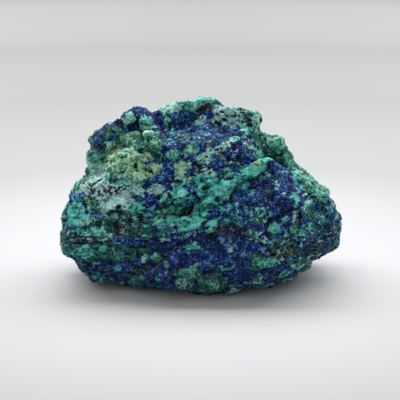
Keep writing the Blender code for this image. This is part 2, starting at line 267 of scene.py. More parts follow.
GREEN_KNOB_PATCHES = (
    ("green", (100, 6, (260, 136.5), (268, 137.5))),
    ("bottle", (100, 278, 148, 17, 14, -30)),
    ("green", (90, 276, 146, 13, 10, -30)),
    ("teal", (42, 273, 146, 6, 5)),
    ("bottle", (90, 1.5, (263, 148), (268, 155.5), (276, 159.5)), (85, 2, (280, 160), (292, 160))),
    ("soot", (90, 279.6, 154, 2.2, 2.6), (80, 1.4, (264, 139), (264.5, 144)),
     (97, 1.7, (251, 161.8), (258, 159.4), (266, 158.8))),
    ("mint", (81, 206, 160.5, 8, 4.4, 25)),
    ("soot", (20, 206, 160.5, 8, 4.4, 25)),
    ("azurite", (97, 216, 165, 9, 4.4, 25)),
    ("royal", (65, 217, 163.5, 7, 3, 25)),
    ("crust", (76, 2, (230, 163), (240, 163.5))),
    ("frost", (60, 236, 166.5, 4, 2)),
    ("mint", (81, 206, 172, 10, 4)),
    ("soot", (30, 206, 171, 10, 4), (92, 199, 164, 2, 1.3, 20)),
    ("royal", (75, 193, 175, 3, 2.4)),
    ("ochre", (80, 195, 166.3, 1.9, 2.2)),
    ("mint", (99, 182, 169, 8.4, 9.6, -15)),
    ("lime", (76, 181, 169, 7, 8.6, -15), (86, 156, 168, 6, 4.6)),
    ("frost", (60, 188, 172, 2, 4, -15)),
    ("soot", (85, 178.5, 181, 2, 1.4), (75, 163, 158.5, 3, 1.8), (80, 166.5, 168, 2.4, 2)),
    ("crust", (41, 156, 166, 6, 3)),
    ("azurite", (90, 167, 162.5, 7, 2.6), (99, 165, 179.5, 9.4, 5.8, 10)),
    ("royal", (80, 2.4, (160, 176), (172, 173.5)), (50, 170, 167, 4, 6, -30)),
)
LEFT_HUMP_PATCHES = (
    ("green", (55, 116, 136, 10, 12, 20)),
    ("azurite", (98, 2.4, (120, 126), (122, 119), (127, 113.5), (134, 112)),
     (98, 4, (136, 111), (144, 110), (151, 114.5), (158, 118), (160, 126)),
     (97, 3, (112, 126), (104, 128), (98, 133), (94, 138))),
    ("soot", (35, 2, (120, 124), (122, 119), (128, 113.5))),
    ("royal", (60, 140, 111.5, 5, 2.6), (75, 140, 116, 6, 2.4, 10), (35, 2, (104, 129), (98, 134))),
    ("ochre", (70, 138, 113, 1.3, 1)),
    ("azurite", (97, 99, 140.5, 6.6, 7, 30)),
    ("royal", (80, 98.5, 142, 4.4, 4, 30)),
    ("azurite", (98, 98, 147.5, 8, 2.6), (60, 125.5, 130, 2.6, 2.4), (90, 133, 120, 6, 8)),
    ("soot", (40, 97, 147.5, 8, 2.6)),
    ("green", (95, 2.2, (91.5, 139), (92.5, 146)), (95, 115.5, 129, 3.6, 2.6)),
    ("bottle", (50, 96, 157, 4, 9), (95, 108.5, 134, 3.6, 7, 35)),
    ("ochre", (22, 108.5, 134, 3, 6, 35)),
    ("royal", (85, 1.4, (114.5, 133), (110, 141))),
    ("lime", (76, 104.5, 142, 1.8, 1.1)),
    ("green", (85, 116.5, 138, 3.6, 5)),
    ("crust", (91, 123, 139, 2.8, 6)),
    ("teal", (97, 130, 119, 5.2, 5)),
    ("mint", (66, 130.5, 118, 4.8, 4), (96, 124.3, 121.5, 1.9, 4.2, 20)),
    ("frost", (60, 126.5, 124.5, 1.8, 1.8)),
    ("azurite", (99, 134, 127, 6.4, 4.6)),
    ("royal", (90, 133, 128.5, 5.4, 3.4)),
    ("azurite", (97, 138, 121, 2.2, 6), (99, 3, (103, 128.5), (108, 125.5), (114, 124.5), (119, 121.5))),
    ("green", (92, 148, 125, 8, 5.5, -10)),
    ("teal", (55, 147, 120.5, 5.4, 3, -8)),
    ("green", (35, 147, 121, 5.4, 3, -8), (100, 143, 141.5, 17.5, 9.5)),
    ("mint", (61, 149, 127, 7, 3, -8), (81, 1.8, (109, 144), (117, 145))),
    ("jade", (20, 145, 126, 6, 3)),
    ("ochre", (80, 152.7, 124, 1.2, 1.1)),
    ("crust", (60, 146, 131.8, 5, 1.8), (86, 137, 132.5, 2.8, 1.1)),
    ("frost", (35, 146, 131.8, 5, 1.8)),
    ("green", (100, 3.4, (128, 134), (136, 136.5))),
    ("lime", (50, 129.5, 140, 3.8, 6), (33, 2, (130, 135), (137, 134.5), (147, 136), (158, 135.5))),
    ("bottle", (92, 139.5, 142.5, 6, 4.4, -10)),
    ("soot", (75, 141.5, 145.5, 2, 1.5), (70, 149, 138.2, 2.4, 1), (60, 135, 139.5, 2, 1)),
    ("green", (100, 154, 144.5, 6.6, 5.4)),
    ("bottle", (90, 154, 151, 7, 2.4)),
    ("soot", (80, 150, 149.4, 1.5, 1.1), (35, 3, (93, 140), (98, 133), (106, 127.5), (114, 124.5)),
     (30, 98, 142, 6, 7, 30)),
    ("frost", (90, 1.5, (114, 144.5), (122, 146.5), (128, 148), (134, 152))),
    ("royal", (45, 1.2, (116, 146), (129, 148.5))),
    ("bottle", (92, 149, 154, 6, 3), (92, 157, 158, 7, 2.2, 10)),
    ("crust", (61, 158, 154.5, 4.6, 1.3, 15)),
)
LIME_SHELF_PATCHES = (
    ("lime", (95, 5.5, (108, 153), (118, 150), (130, 152)), (92, 4.6, (140, 160), (148, 165), (150, 172)),
     (97, 6.5, (112, 165), (122, 161), (136, 158), (144, 158)),
     (96, 4.4, (113, 157), (121, 152), (130, 152))),
    ("green", (75, 1.4, (112, 160), (126, 155.5)), (80, 1.4, (110, 168.5), (121, 163)),
     (60, 1.2, (120, 168), (128, 163), (134, 161)), (80, 108, 154.5, 5, 4.4)),
    ("lime", (100, 2.4, (123, 165), (132, 164))),
    ("ochre", (65, 109, 152, 2.2, 1.8), (60, 107, 158.5, 3, 1.1), (55, 115.5, 150.5, 4, 2.6),
     (50, 118, 156, 3, 1.4, 15)),
    ("soot", (35, 115, 149.5, 4, 2.4)),
    ("green", (45, 122, 153.5, 10, 4.6)),
    ("ochre", (22, 114, 154, 8, 5)),
    ("bottle", (55, 100, 154, 4.8, 4.6)),
    ("crust", (30, 100, 154, 4.6, 4.4), (66, 138, 153.5, 5, 1.6), (97, 148, 158.8, 3.8, 2.8)),
    ("green", (95, 93, 157, 8.5, 9.5), (85, 140, 176, 15, 8)),
    ("mint", (34, 96, 158, 8, 8)),
    ("bottle", (30, 94, 157, 7, 9)),
    ("soot", (75, 1, (97, 150.4), (101, 151)), (92, 105.5, 161, 2.4, 1.2),
     (85, 110.5, 162.5, 1.3, 2)),
    ("ochre", (70, 134, 154.6, 1.3, 1.1)),
    ("lime", (86, 139, 173, 14, 5), (96, 1.6, (134, 163), (128, 170), (124, 176))),
    ("teal", (81, 124, 181.5, 12, 3.6)),
    ("mint", (86, 128, 182, 5, 2), (86, 118, 173, 3.6, 2.2, 10)),
    ("bottle", (65, 112, 179, 4.6, 4.6)),
    ("soot", (90, 135.8, 166, 1.6, 1.5), (80, 137.6, 169, 1.4, 1.8), (85, 146.3, 168, 1.4, 1.8),
     (90, 150.3, 171, 2.8, 1.3, -10), (90, 113, 173, 2.2, 1.3), (75, 123.6, 171, 2.4, 1, 15),
     (80, 108.6, 169, 0.9, 2.6), (85, 142.3, 181, 2.8, 1.5)),
    ("royal", (85, 1.4, (144, 163), (157, 162))),
    ("frost", (65, 152, 162, 4, 1.5)),
    ("lime", (95, 1.3, (143, 165.5), (151, 166)), (91, 157, 171, 4.4, 2.6)),
)
PALE_SLOPE_PATCHES = (
    ("mint", (91, 97, 171, 9.5, 9), (95, 105, 180.5, 2.8, 4)),
    ("crust", (61, 97, 171, 9, 9)),
    ("lime", (56, 89, 177, 2, 3)),
    ("soot", (75, 95, 168.3, 1.4, 1), (70, 98.6, 169.3, 1.4, 1)),
    ("teal", (76, 107, 176, 3, 2.6), (95, 76, 203, 4.4, 3, 10)),
    ("green", (97, 4.4, (91, 173), (84, 180), (78, 187), (75, 193))),
    ("bottle", (85, 90, 174, 2.6, 1.6, 30), (85, 1, (85, 179), (79, 187))),
    ("mint", (81, 0.9, (78, 184), (74.5, 189))),
    ("crust", (94, 105, 190.5, 26, 7, -3)),
    ("soot", (27, 105, 190, 26, 6.5, -3), (45, 1.2, (102, 179), (97, 182), (93, 185)),
     (90, 100, 192.3, 1.3, 1.5), (90, 104.7, 191.7, 1.2, 1.2), (90, 94, 197.3, 2.4, 1.4),
     (80, 111.5, 193.5, 1.6, 2.4)),
    ("crust", (91, 85, 188, 5.5, 4.5), (91, 1.6, (108, 185), (118, 186)), (96, 103, 200.5, 7, 4, 10)),
    ("soot", (75, 0.9, (99, 188), (106, 188), (116, 187.3)), (75, 120.5, 188.5, 1.8, 1),
     (80, 84.3, 183.5, 1.4, 1), (70, 88, 187.5, 1.3, 1.3), (80, 1, (86, 196), (92, 197.3))),
    ("green", (50, 92, 191, 3.6, 3.6), (95, 92, 203.5, 8, 6, -20)),
    ("royal", (99, 2.5, (72, 198), (78, 196.3), (84, 194.3)), (75, 70, 202.5, 1.5, 2.4)),
    ("lime", (41, 90, 202, 5, 3)),
    ("bottle", (60, 92, 211, 4, 3)),
    ("azurite", (98, 1.5, (83, 200), (85.3, 206), (87, 213))),
    ("soot", (95, 92.5, 204.3, 1.6, 1.2)),
    ("crust", (100, 5.6, (104, 208.5), (112, 204), (120, 200), (127, 196))),
    ("mint", (35, 3, (103, 208.5), (112, 204), (121, 199))),
    ("crust", (99, 128, 203, 7.4, 6)),
    ("mint", (66, 129, 207, 7, 4), (97, 138, 190.5, 7.4, 5.8)),
    ("jade", (96, 3, (130, 211), (138, 207), (141, 203))),
    ("teal", (66, 139, 209, 4.4, 4)),
    ("soot", (80, 127, 203.6, 1.1, 1.2)),
    ("bottle", (85, 129.8, 207, 1.8, 1.1), (70, 126.5, 210.5, 1.3, 1)),
    ("crust", (51, 137, 189, 6, 4)),
    ("royal", (92, 2, (133, 197), (144, 199), (158, 200)), (75, 149, 193.5, 4, 2.2),
     (95, 2.3, (144, 186), (150, 182), (159, 177)), (85, 152.5, 203, 4.4, 1.8)),
    ("frost", (35, 1.6, (134, 197.5), (144, 200))),
    ("crust", (86, 156, 189, 8, 4.6)),
    ("mint", (61, 157, 190, 6, 4.4)),
    ("soot", (85, 146, 189, 1.2, 1.1)),
    ("azurite", (85, 157.5, 207, 4, 4)),
)
LOBE_PATCHES = (
    ("bottle", (95, 3.6, (67, 212), (65, 222), (64, 235), (64, 246))),
    ("green", (45, 2.4, (66, 214), (64, 225), (63.5, 235))),
    ("teal", (100, 79, 217, 12, 16.5, 8), (97, 3.4, (76, 228), (84, 234), (96, 233))),
    ("green", (65, 80.5, 208, 4.6, 2.6)),
    ("bottle", (80, 1.2, (70.5, 229), (75, 235)), (80, 73.5, 228, 1.8, 1.3)),
    ("soot", (70, 79, 218.6, 1.1, 1.1), (75, 65.3, 222, 1.6, 2.4), (60, 66, 231, 1.6, 3)),
    ("azurite", (97, 1.6, (68.5, 208), (68, 214)), (97, 1.5, (84.5, 204), (87, 213))),
    ("crust", (95, 2.3, (81, 224), (88, 221.5), (96, 217.5), (104, 214))),
    ("mint", (66, 1.4, (81, 224), (88, 221.5), (96, 218))),
    ("royal", (100, 97, 215, 4, 3.2, -15)),
    ("frost", (45, 97, 215, 3.6, 2.8, -15)),
    ("bottle", (97, 92, 228, 9, 5, 10)),
    ("soot", (70, 86, 228.6, 4.6, 3, 5)),
)
DARK_FACE_PATCHES = (
    ("bottle", (97, 118, 226, 32, 10, 4)),
    ("teal", (46, 96, 231, 9, 4)),
    ("mint", (66, 0.8, (103.5, 221), (102.3, 227), (105, 233)), (66, 0.8, (80, 234.5), (90, 236), (101, 235)),
     (81, 105, 217, 3.6, 2.4)),
    ("crust", (86, 114, 216.5, 2.8, 2.6), (76, 1.1, (116, 219), (117, 225))),
    ("soot", (97, 118, 207.5, 2.6, 2.6), (97, 2, (113, 210.5), (119, 212.5)), (90, 123, 215.5, 3, 1.8),
     (70, 105, 216.8, 1.4, 1), (99, 117, 229, 3.4, 6.6), (95, 121, 234, 4, 2), (90, 127, 231, 2.6, 3, 30),
     (97, 139.5, 218, 2.4, 5.6, 8), (90, 145.5, 206, 2.2, 2.8), (40, 128, 220, 12, 6)),
    ("mint", (70, 121.6, 230, 2.4, 1.5), (28, 130, 222, 9, 7)),
    ("bottle", (92, 146, 230, 8, 10)),
    ("teal", (81, 146, 225.7, 6, 1, 5)),
    ("green", (45, 145, 238, 5, 2.6)),
    ("royal", (80, 147, 219, 2, 1.4), (80, 152.5, 218, 2, 2.6)),
    ("azurite", (98, 2.4, (154.5, 227), (154, 238))),
    ("teal", (95, 157, 223, 4.4, 1.5, 28)),
    ("soot", (34, 130, 222, 17, 11)),
)
STRIPED_CRACK_PATCHES = (
    ("bottle", (97, 86, 240, 27, 4)),
    ("soot", (55, 86, 240, 27, 3.6), (72, 0.6, (74, 237), (86, 238), (100, 237.4)),
     (75, 0.7, (62, 243.2), (80, 242.6), (100, 243.2), (112, 245)), (65, 142, 246.5, 14, 1.4, -4)),
    ("crust", (66, 0.7, (72, 240), (86, 239.5), (100, 239.6), (112, 238.5)), (51, 107, 236.5, 5, 2.4)),
    ("azurite", (80, 82, 240.6, 7, 1), (97, 2, (122, 239), (134, 242), (148, 244), (165, 243))),
    ("royal", (99, 2, (113.5, 242), (116, 238), (121, 239), (130, 241.3), (140, 243))),
    ("crust", (86, 118, 242.7, 2.6, 0.8)),
)
FIBROUS_BAND_PATCHES = (
    ("bottle", (100, 8, (70, 252), (90, 252), (110, 252), (128, 253)), (97, 3, (84, 260), (82, 270))),
    ("teal", (41, 88, 251, 22, 7)),
    ("mint", (66, 0.6, (112.5, 245), (114, 252), (117, 258))),
    ("soot", (97, 128, 254, 4, 1.2)),
    ("azurite", (92, 0.8, (117, 246), (124, 251))),
    ("bottle", (95, 138, 251, 10, 4)),
)
LOWER_LEFT_PATCHES = (
    ("azurite", (97, 112, 271, 30, 8, -12)),
    ("soot", (35, 100, 274, 20, 6, -12), (40, 140, 274, 18, 7)),
    ("royal", (60, 104, 265, 7, 3.4), (50, 120, 263, 12, 2.4, 5), (80, 112, 268, 2.6, 2.6)),
    ("crust", (66, 93, 262.5, 8, 1.8)),
    ("soot", (50, 93, 262, 9, 1.4)),
    ("crust", (30, 98, 266, 4, 2.6)),
    ("teal", (71, 97, 275, 6, 2.6), (95, 118, 268, 3.2, 3)),
    ("green", (55, 98, 279, 6, 2)),
    ("frost", (60, 116, 272, 2.4, 2)),
    ("royal", (75, 2, (122, 266), (132, 266.5))),
    ("azurite", (99, 138, 262.5, 8.4, 4.6, 5)),
    ("mint", (60, 145, 258.4, 4, 3.8)),
    ("green", (40, 145, 258.4, 4, 3.8), (90, 145, 259.8, 1.6, 1.3), (50, 157, 285.5, 3.4, 1.6)),
    ("bottle", (85, 137, 279, 8, 6), (80, 166.5, 265, 3, 3.4, -40)),
    ("crust", (10, 137, 279, 7, 5)),
    ("soot", (80, 131, 273.5, 5, 2.6)),
    ("azurite", (97, 151, 266, 9, 5)),
    ("soot", (50, 152, 265, 10, 5), (75, 143, 271.5, 6, 1.6)),
    ("royal", (95, 155, 274.5, 6, 2.2, -5), (80, 1.5, (146, 279), (152, 286))),
    ("frost", (60, 147, 274, 3, 1.4, -30)),
    ("teal", (66, 156, 281, 4.4, 3.4)),
    ("green", (92, 157, 257, 4.6, 4.6)),
    ("crust", (16, 156, 256, 4, 4), (20, 166.5, 265, 3, 3.4, -40)),
    ("mint", (86, 151.5, 257.5, 1.8, 2)),
    ("soot", (95, 164.5, 256.5, 2.6, 4), (80, 162, 264, 2, 2.6)),
    ("azurite", (97, 168, 280, 6, 7)),
    ("crust", (25, 166.5, 273, 2.4, 2.4)),
    ("royal", (60, 173, 262, 3.4, 4)),
    ("frost", (60, 175.5, 260.5, 1.6, 2.6)),
)
MIDDLE_LEDGES_PATCHES = (
    ("azurite", (92, 160, 198, 8, 3)),
    ("crust", (96, 2, (164, 197), (168, 193)), (76, 176, 185, 5, 2, 10)),
    ("soot", (85, 169.5, 195.5, 2, 3.4, 20)),
    ("azurite", (75, 170, 188, 4, 2), (60, 180, 183.5, 5, 2.4, 10)),
    ("mint", (66, 188, 181, 5, 3.4, 25)),
    ("teal", (97, 180, 191, 8.6, 6.6, 18)),
    ("jade", (76, 2.6, (173, 192), (178, 189), (184, 186)), (66, 1.6, (176, 197), (185, 195))),
    ("bottle", (97, 181, 206, 15, 7.5, 22)),
    ("teal", (81, 176, 207, 10, 5, 22)),
    ("bottle", (95, 166, 203.5, 6, 4.4)),
    ("jade", (91, 163, 200, 3.4, 1.8, 20), (86, 171, 201.5, 2.2, 1.6)),
    ("soot", (95, 1.6, (160, 209), (167, 207.5), (173, 206)), (60, 172, 204.5, 2.2, 2.6)),
    ("royal", (92, 2, (186, 189), (191, 192), (194, 191.5), (198, 186))),
    ("azurite", (95, 3.4, (194, 194), (198, 199), (201, 203.5))),
    ("royal", (50, 2, (196, 197), (201, 203))),
    ("azurite", (70, 190, 199, 4, 4)),
    ("teal", (91, 4, (195, 187), (203, 182), (212, 181))),
    ("jade", (91, 1.8, (200, 187), (205, 182.5), (210, 180.5)), (81, 214, 182, 3.4, 2)),
    ("bottle", (85, 206, 186.5, 3.6, 2)),
    ("soot", (80, 203.5, 187.3, 2, 1.5, 20)),
    ("royal", (50, 211, 187, 3, 3)),
    ("teal", (86, 207, 191, 6, 2.6)),
    ("jade", (97, 2.4, (199, 195.4), (205, 196.6), (211, 198)),
     (100, 5.8, (215, 193), (223, 188.5), (232, 184), (240, 181)),
     (100, 5.4, (247, 173), (254, 169), (263, 164.5), (270, 163)), (97, 3.6, (240, 183), (245, 176))),
    ("mint", (36, 3, (217, 191), (228, 187), (238, 181))),
    ("lime", (25, 4, (250, 170), (262, 164))),
    ("bottle", (70, 239, 182.4, 1.4, 1.4)),
    ("azurite", (85, 243.5, 175, 1.8, 3)),
    ("royal", (50, 237, 175.6, 4, 1.6)),
    ("teal", (76, 243, 168.5, 4.6, 3, 20)),
    ("green", (100, 226, 172.5, 6.2, 5.2)),
    ("teal", (61, 225, 172, 5.4, 4.6), (96, 216, 184, 2.6, 3)),
    ("soot", (92, 229, 178.3, 3, 1.2, 20), (95, 1.3, (231.5, 171.6), (240, 172)),
     (92, 1.7, (249, 180.5), (254, 179), (260, 176))),
    ("bottle", (80, 221, 175, 2, 2.4), (90, 217.3, 199, 1.8, 3)),
    ("lime", (46, 265, 175.5, 5, 3.6), (86, 195.5, 233.6, 2.6, 1.2, 35)),
    ("green", (50, 265, 175.5, 5, 3.6)),
    ("soot", (30, 264, 174.5, 6, 3)),
    ("teal", (97, 2.6, (221, 196), (220, 203)), (97, 208.5, 204, 8, 6.4, 10)),
    ("bottle", (75, 208, 206.5, 4, 2.6, 20)),
    ("jade", (86, 1.3, (200.5, 206), (205, 202), (212, 200), (215, 204)), (96, 3.2, (197, 207), (196, 216)),
     (100, 205, 214.3, 4.4, 3, 15)),
    ("teal", (51, 1.6, (198, 208), (197, 216))),
    ("soot", (60, 1, (193, 206), (192, 214))),
    ("azurite", (60, 201, 215, 1.4, 2.4)),
    ("bottle", (97, 3.6, (176, 213), (184, 211), (190, 208)), (90, 165, 231.5, 6, 6)),
    ("teal", (76, 1.6, (179, 209), (186, 206))),
    ("soot", (97, 1.7, (183, 215), (190, 212.5), (192, 208))),
    ("green", (90, 2.2, (159, 213), (166, 212), (174, 211))),
    ("jade", (56, 1.3, (160, 212), (172, 211))),
    ("ochre", (70, 168, 215, 1.5, 1.2), (60, 161, 214.5, 1.6, 1.2)),
    ("soot", (70, 164.6, 217, 1.2, 2.4), (92, 230.6, 199, 2.6, 4, -10)),
    ("green", (80, 2, (156, 219), (160, 217))),
    ("jade", (100, 5, (171, 220), (182, 221), (194, 223), (204, 221.5))),
    ("green", (75, 3, (176, 228), (186, 230), (194, 228)), (40, 164, 231, 4, 5)),
    ("jade", (66, 3, (178, 226), (190, 228))),
    ("mint", (41, 2.4, (172, 219), (186, 220))),
    ("royal", (92, 165.5, 225, 2.6, 2.8), (97, 2.2, (171, 235), (174, 232), (176, 228))),
    ("frost", (75, 165.5, 225, 2.4, 2.6), (65, 174, 231.5, 2.6, 3.4, 30), (92, 177, 237.5, 4, 1.8, 5)),
    ("royal", (100, 2.4, (182, 237.5), (188, 234), (194, 230.5), (200, 226.5)),
     (100, 214.6, 213, 5, 3.2, 22)),
    ("frost", (60, 2, (183, 237), (190, 233), (199, 227))),
    ("ochre", (95, 183.5, 235, 1.2, 1.1), (70, 191.3, 217.8, 1.3, 1.6), (50, 196.5, 233, 2, 1, 35),
     (40, 177.5, 225, 2, 1.2)),
    ("crust", (61, 164.5, 240, 5, 2)),
    ("mint", (56, 164.5, 240, 5, 2)),
    ("teal", (91, 218.5, 218.3, 4.6, 2.4, 10)),
    ("frost", (50, 220, 218, 4, 2.6, 10)),
    ("azurite", (97, 2, (203, 225), (208, 220), (212, 217)), (95, 2.2, (222, 206), (226, 202))),
    ("teal", (91, 2.4, (219, 211), (228, 207), (240, 204)), (66, 247, 186, 5, 2.4, 20)),
    ("royal", (40, 2, (226, 207), (238, 205)), (60, 237, 192, 5, 2.6, 15)),
    ("green", (92, 249.5, 192, 5.6, 2.6, -5)),
    ("teal", (30, 9, (182, 195), (205, 190), (228, 182), (246, 172))),
    ("royal", (85, 2.2, (185, 187), (193, 190.5), (198, 198)), (97, 215, 213.5, 6, 4.2, -20)),
    ("azurite", (80, 199, 201, 2.6, 2.8)),
)
BIG_DOME_PATCHES = (
    ("jade", (97, 212.5, 223.5, 4.4, 3, 15)),
    ("green", (90, 210.5, 230.5, 3.4, 3.8)),
    ("teal", (46, 210.5, 230.5, 3.4, 3.8)),
    ("azurite", (99, 235, 227, 20, 12, 20), (97, 204, 237, 8, 4.4)),
    ("soot", (35, 232, 228, 18, 9, 20), (97, 211.5, 237, 3, 3.6), (75, 220.5, 229, 2.4, 4)),
    ("frost", (30, 245, 217, 16, 8, 10), (80, 283.5, 173.5, 5, 3, -15), (45, 276, 169, 4, 3)),
    ("teal", (41, 243, 217, 18, 8, 10)),
    ("royal", (30, 255, 205, 30, 16, 20)),
    ("azurite", (99, 267, 193, 7, 11), (99, 2, (283, 166), (291, 174))),
    ("soot", (45, 267, 193, 4, 8)),
    ("royal", (60, 282, 187, 7, 8)),
    ("soot", (70, 275.5, 178, 1.8, 1.6), (80, 244.5, 205.5, 1.8, 1.8)),
    ("crust", (41, 276, 185, 3, 5)),
    ("mint", (61, 285, 195, 2, 3)),
    ("frost", (92, 1.7, (292, 177), (296, 186), (301, 194))),
    ("azurite", (98, 284, 204, 8, 8)),
    ("green", (30, 258, 217, 9, 8), (80, 251, 233, 6, 3.4)),
    ("mint", (25, 262, 214, 10, 8), (86, 0.8, (283, 219.5), (288, 216))),
    ("soot", (60, 1.7, (270, 222), (279, 218), (290, 211.5), (300, 207)), (75, 250, 237, 4, 1.2)),
    ("crust", (66, 1, (247, 239.5), (258, 238)), (36, 262, 238, 7, 7)),
    ("mint", (81, 275, 228, 6.4, 5.4)),
    ("green", (30, 274, 229, 6.4, 5.4), (95, 294, 229.5, 4, 5.6)),
    ("teal", (60, 275, 227, 6.4, 5)),
    ("soot", (70, 1.8, (266, 230), (271, 239))),
    ("royal", (90, 284, 228, 3.4, 6), (92, 279, 235.5, 4.6, 2.2, 10)),
    ("lime", (25, 293, 229, 3.4, 4.6)),
    ("teal", (80, 302, 233, 5.6, 3.4), (66, 275, 241.5, 6, 3)),
    ("bottle", (45, 302, 233, 5.6, 3.4)),
    ("frost", (40, 284, 241, 4, 3)),
)
RIGHT_SLOPE_PATCHES = (
    ("teal", (97, 8, (292, 168), (302, 177), (312, 187), (321, 194)),
     (99, 6.4, (290, 163), (299, 171), (309, 182), (320, 191))),
    ("green", (97, 8, (293, 165), (303, 174), (313, 184), (321, 190))),
    ("mint", (40, 6.6, (293, 165), (303, 174), (313, 184), (321, 190)), (96, 308, 203, 6, 3, 28)),
    ("green", (98, 5, (295, 165), (302, 170), (309, 176), (315, 183))),
    ("teal", (30, 4.6, (295, 165), (302, 170), (309, 176), (315, 183)), (66, 301, 185, 4, 4)),
    ("lime", (25, 2, (297, 169), (303, 174), (312, 182))),
    ("crust", (50, 299, 171, 3.8, 2, -25)),
    ("azurite", (98, 4, (271, 166), (279, 170), (286, 177), (291, 187))),
    ("royal", (55, 3.4, (273, 167), (281, 171), (287, 178))),
    ("frost", (75, 283, 173.5, 4.6, 3, -15)),
    ("soot", (35, 2, (283, 163), (289, 169), (292, 174))),
    ("ochre", (65, 307.5, 190, 2.2, 3.6), (50, 330, 200.5, 1.3, 2.2)),
    ("bottle", (60, 305, 188, 3, 2)),
    ("soot", (85, 311, 193.5, 4, 1.2, 5), (75, 313.5, 197, 1.8, 2.6)),
    ("teal", (92, 294.5, 199, 5, 7.4)),
    ("bottle", (35, 294.5, 200, 5, 7)),
    ("frost", (35, 296, 196, 4, 5), (50, 1.8, (330, 202), (332, 212))),
    ("green", (90, 321, 199, 6.4, 4.6), (40, 308, 203, 6, 3, 28), (85, 327, 194, 4, 6),
     (92, 2.4, (334, 203), (337, 210), (337.5, 218))),
    ("azurite", (97, 302, 203, 5, 2.2, 40)),
    ("bottle", (75, 326, 196, 3, 4), (75, 317, 214, 15, 10), (55, 319, 219, 16, 14)),
    ("crust", (36, 1.6, (335, 205), (338, 216))),
    ("teal", (6, 320, 216, 14, 10)),
    ("azurite", (25, 319, 221, 14, 12)),
    ("royal", (90, 316, 208.5, 3.8, 2.6), (80, 304, 220, 3, 4), (70, 328, 214, 2.6, 5, -30)),
    ("soot", (85, 323, 210, 1.8, 1.6), (92, 299, 218, 2.6, 5.6), (85, 304, 213, 2.6, 2.4)),
    ("crust", (81, 1.8, (294, 212), (294, 220))),
    ("mint", (56, 1, (318, 223), (322, 217))),
)
RIGHT_END_PATCHES = (
    ("teal", (30, 314, 229, 9, 5)),
    ("bottle", (45, 314, 229, 10, 6)),
    ("azurite", (92, 329, 229, 7, 6)),
    ("soot", (45, 335, 230, 5, 10), (92, 1.3, (296, 237.5), (310, 237.5), (325, 237), (336, 235))),
    ("crust", (51, 0.7, (304, 235.5), (318, 235.5), (332, 233.5))),
    ("royal", (95, 307, 241.5, 4, 1.8)),
    ("azurite", (90, 5, (300, 252), (315, 249), (332, 244))),
    ("soot", (50, 4.4, (302, 253), (315, 249), (332, 243))),
    ("crust", (61, 0.8, (308, 244.5), (320, 241), (332, 238.5))),
    ("bottle", (95, 3, (290, 262), (304, 261), (314, 258))),
    ("green", (80, 308, 263.5, 6, 2, 15)),
    ("azurite", (97, 2.2, (286, 258.5), (297, 256.5))),
    ("royal", (60, 1.6, (286, 258.5), (297, 256.5))),
)
SPECKLED_HOLLOW_PATCHES = (
    ("bottle", (60, 286, 249, 13, 9)),
    ("crust", (26, 285, 249, 13, 9)),
    ("soot", (50, 285, 249, 13, 9), (97, 1.7, (262, 244.5), (268, 247.5), (273, 254))),
    ("ochre", (22, 292, 248, 8, 6)),
    ("crust", (38, 300, 244, 2, 3.6), (40, 1.6, (277, 256), (284, 258.5))),
    ("frost", (90, 1.7, (261, 248), (265, 251), (270, 256))),
    ("royal", (85, 253, 248, 9, 3.4, 5)),
)
BELLY_PATCHES = (
    ("royal", (35, 215, 258, 45, 11), (55, 212, 262, 14, 4, -5)),
    ("frost", (60, 228, 243, 9, 4, -20)),
    ("mint", (96, 230.5, 249.3, 3, 1.6), (50, 1.3, (191, 240.5), (198, 243)),
     (81, 1.6, (190, 266.5), (198, 264))),
    ("frost", (40, 236, 246, 3, 3), (45, 2, (180, 249), (181, 256)), (40, 189, 253, 4, 1.6),
     (30, 245, 254, 6, 5), (45, 266, 276, 4, 3)),
    ("jade", (92, 191.5, 246.8, 7.6, 2.4)),
    ("teal", (60, 192, 247, 8, 2), (81, 0.9, (208, 266), (220, 266.5), (232, 269)),
     (71, 0.8, (222, 269), (234, 267))),
    ("lime", (66, 196, 264.6, 2.4, 1.2, 20)),
    ("bottle", (95, 255, 258, 6, 6), (95, 253, 266, 5, 4)),
    ("green", (90, 4.4, (256, 262), (266, 263), (274, 262)), (90, 258, 279, 4, 4, 30)),
    ("teal", (61, 3, (262, 266), (270, 263))),
    ("azurite", (95, 285, 267.5, 6, 3), (97, 245, 277, 9, 4.6)),
    ("royal", (40, 285, 267.5, 6, 2.6)),
    ("green", (75, 285, 272.5, 6, 1.6, 5)),
    ("ochre", (30, 295, 266, 3, 3)),
    ("azurite", (97, 3.4, (264, 283), (280, 278.5), (296, 273))),
    ("soot", (75, 3, (264, 283.5), (280, 279), (297, 274))),
)
GREEN_FEET_PATCHES = (
    ("bottle", (97, 188, 275, 13, 8)),
    ("green", (62, 186, 274, 11, 6.5)),
    ("crust", (66, 184, 284, 8, 4.6, -5)),
    ("green", (35, 184, 284, 8, 4.6, -5)),
    ("soot", (95, 181.8, 282, 1.2, 1.3), (80, 179.6, 285.4, 1, 1), (92, 188.3, 286.2, 2.3, 0.9)),
    ("bottle", (98, 212, 283, 14, 9)),
    ("green", (38, 216, 281, 10, 6), (60, 232, 286, 4.4, 3), (60, 251, 284, 4, 3.4)),
    ("soot", (50, 205, 278, 4, 3)),
    ("teal", (51, 206, 290, 6, 2.6, -20)),
    ("azurite", (97, 196.5, 282.5, 2.4, 3.4)),
)
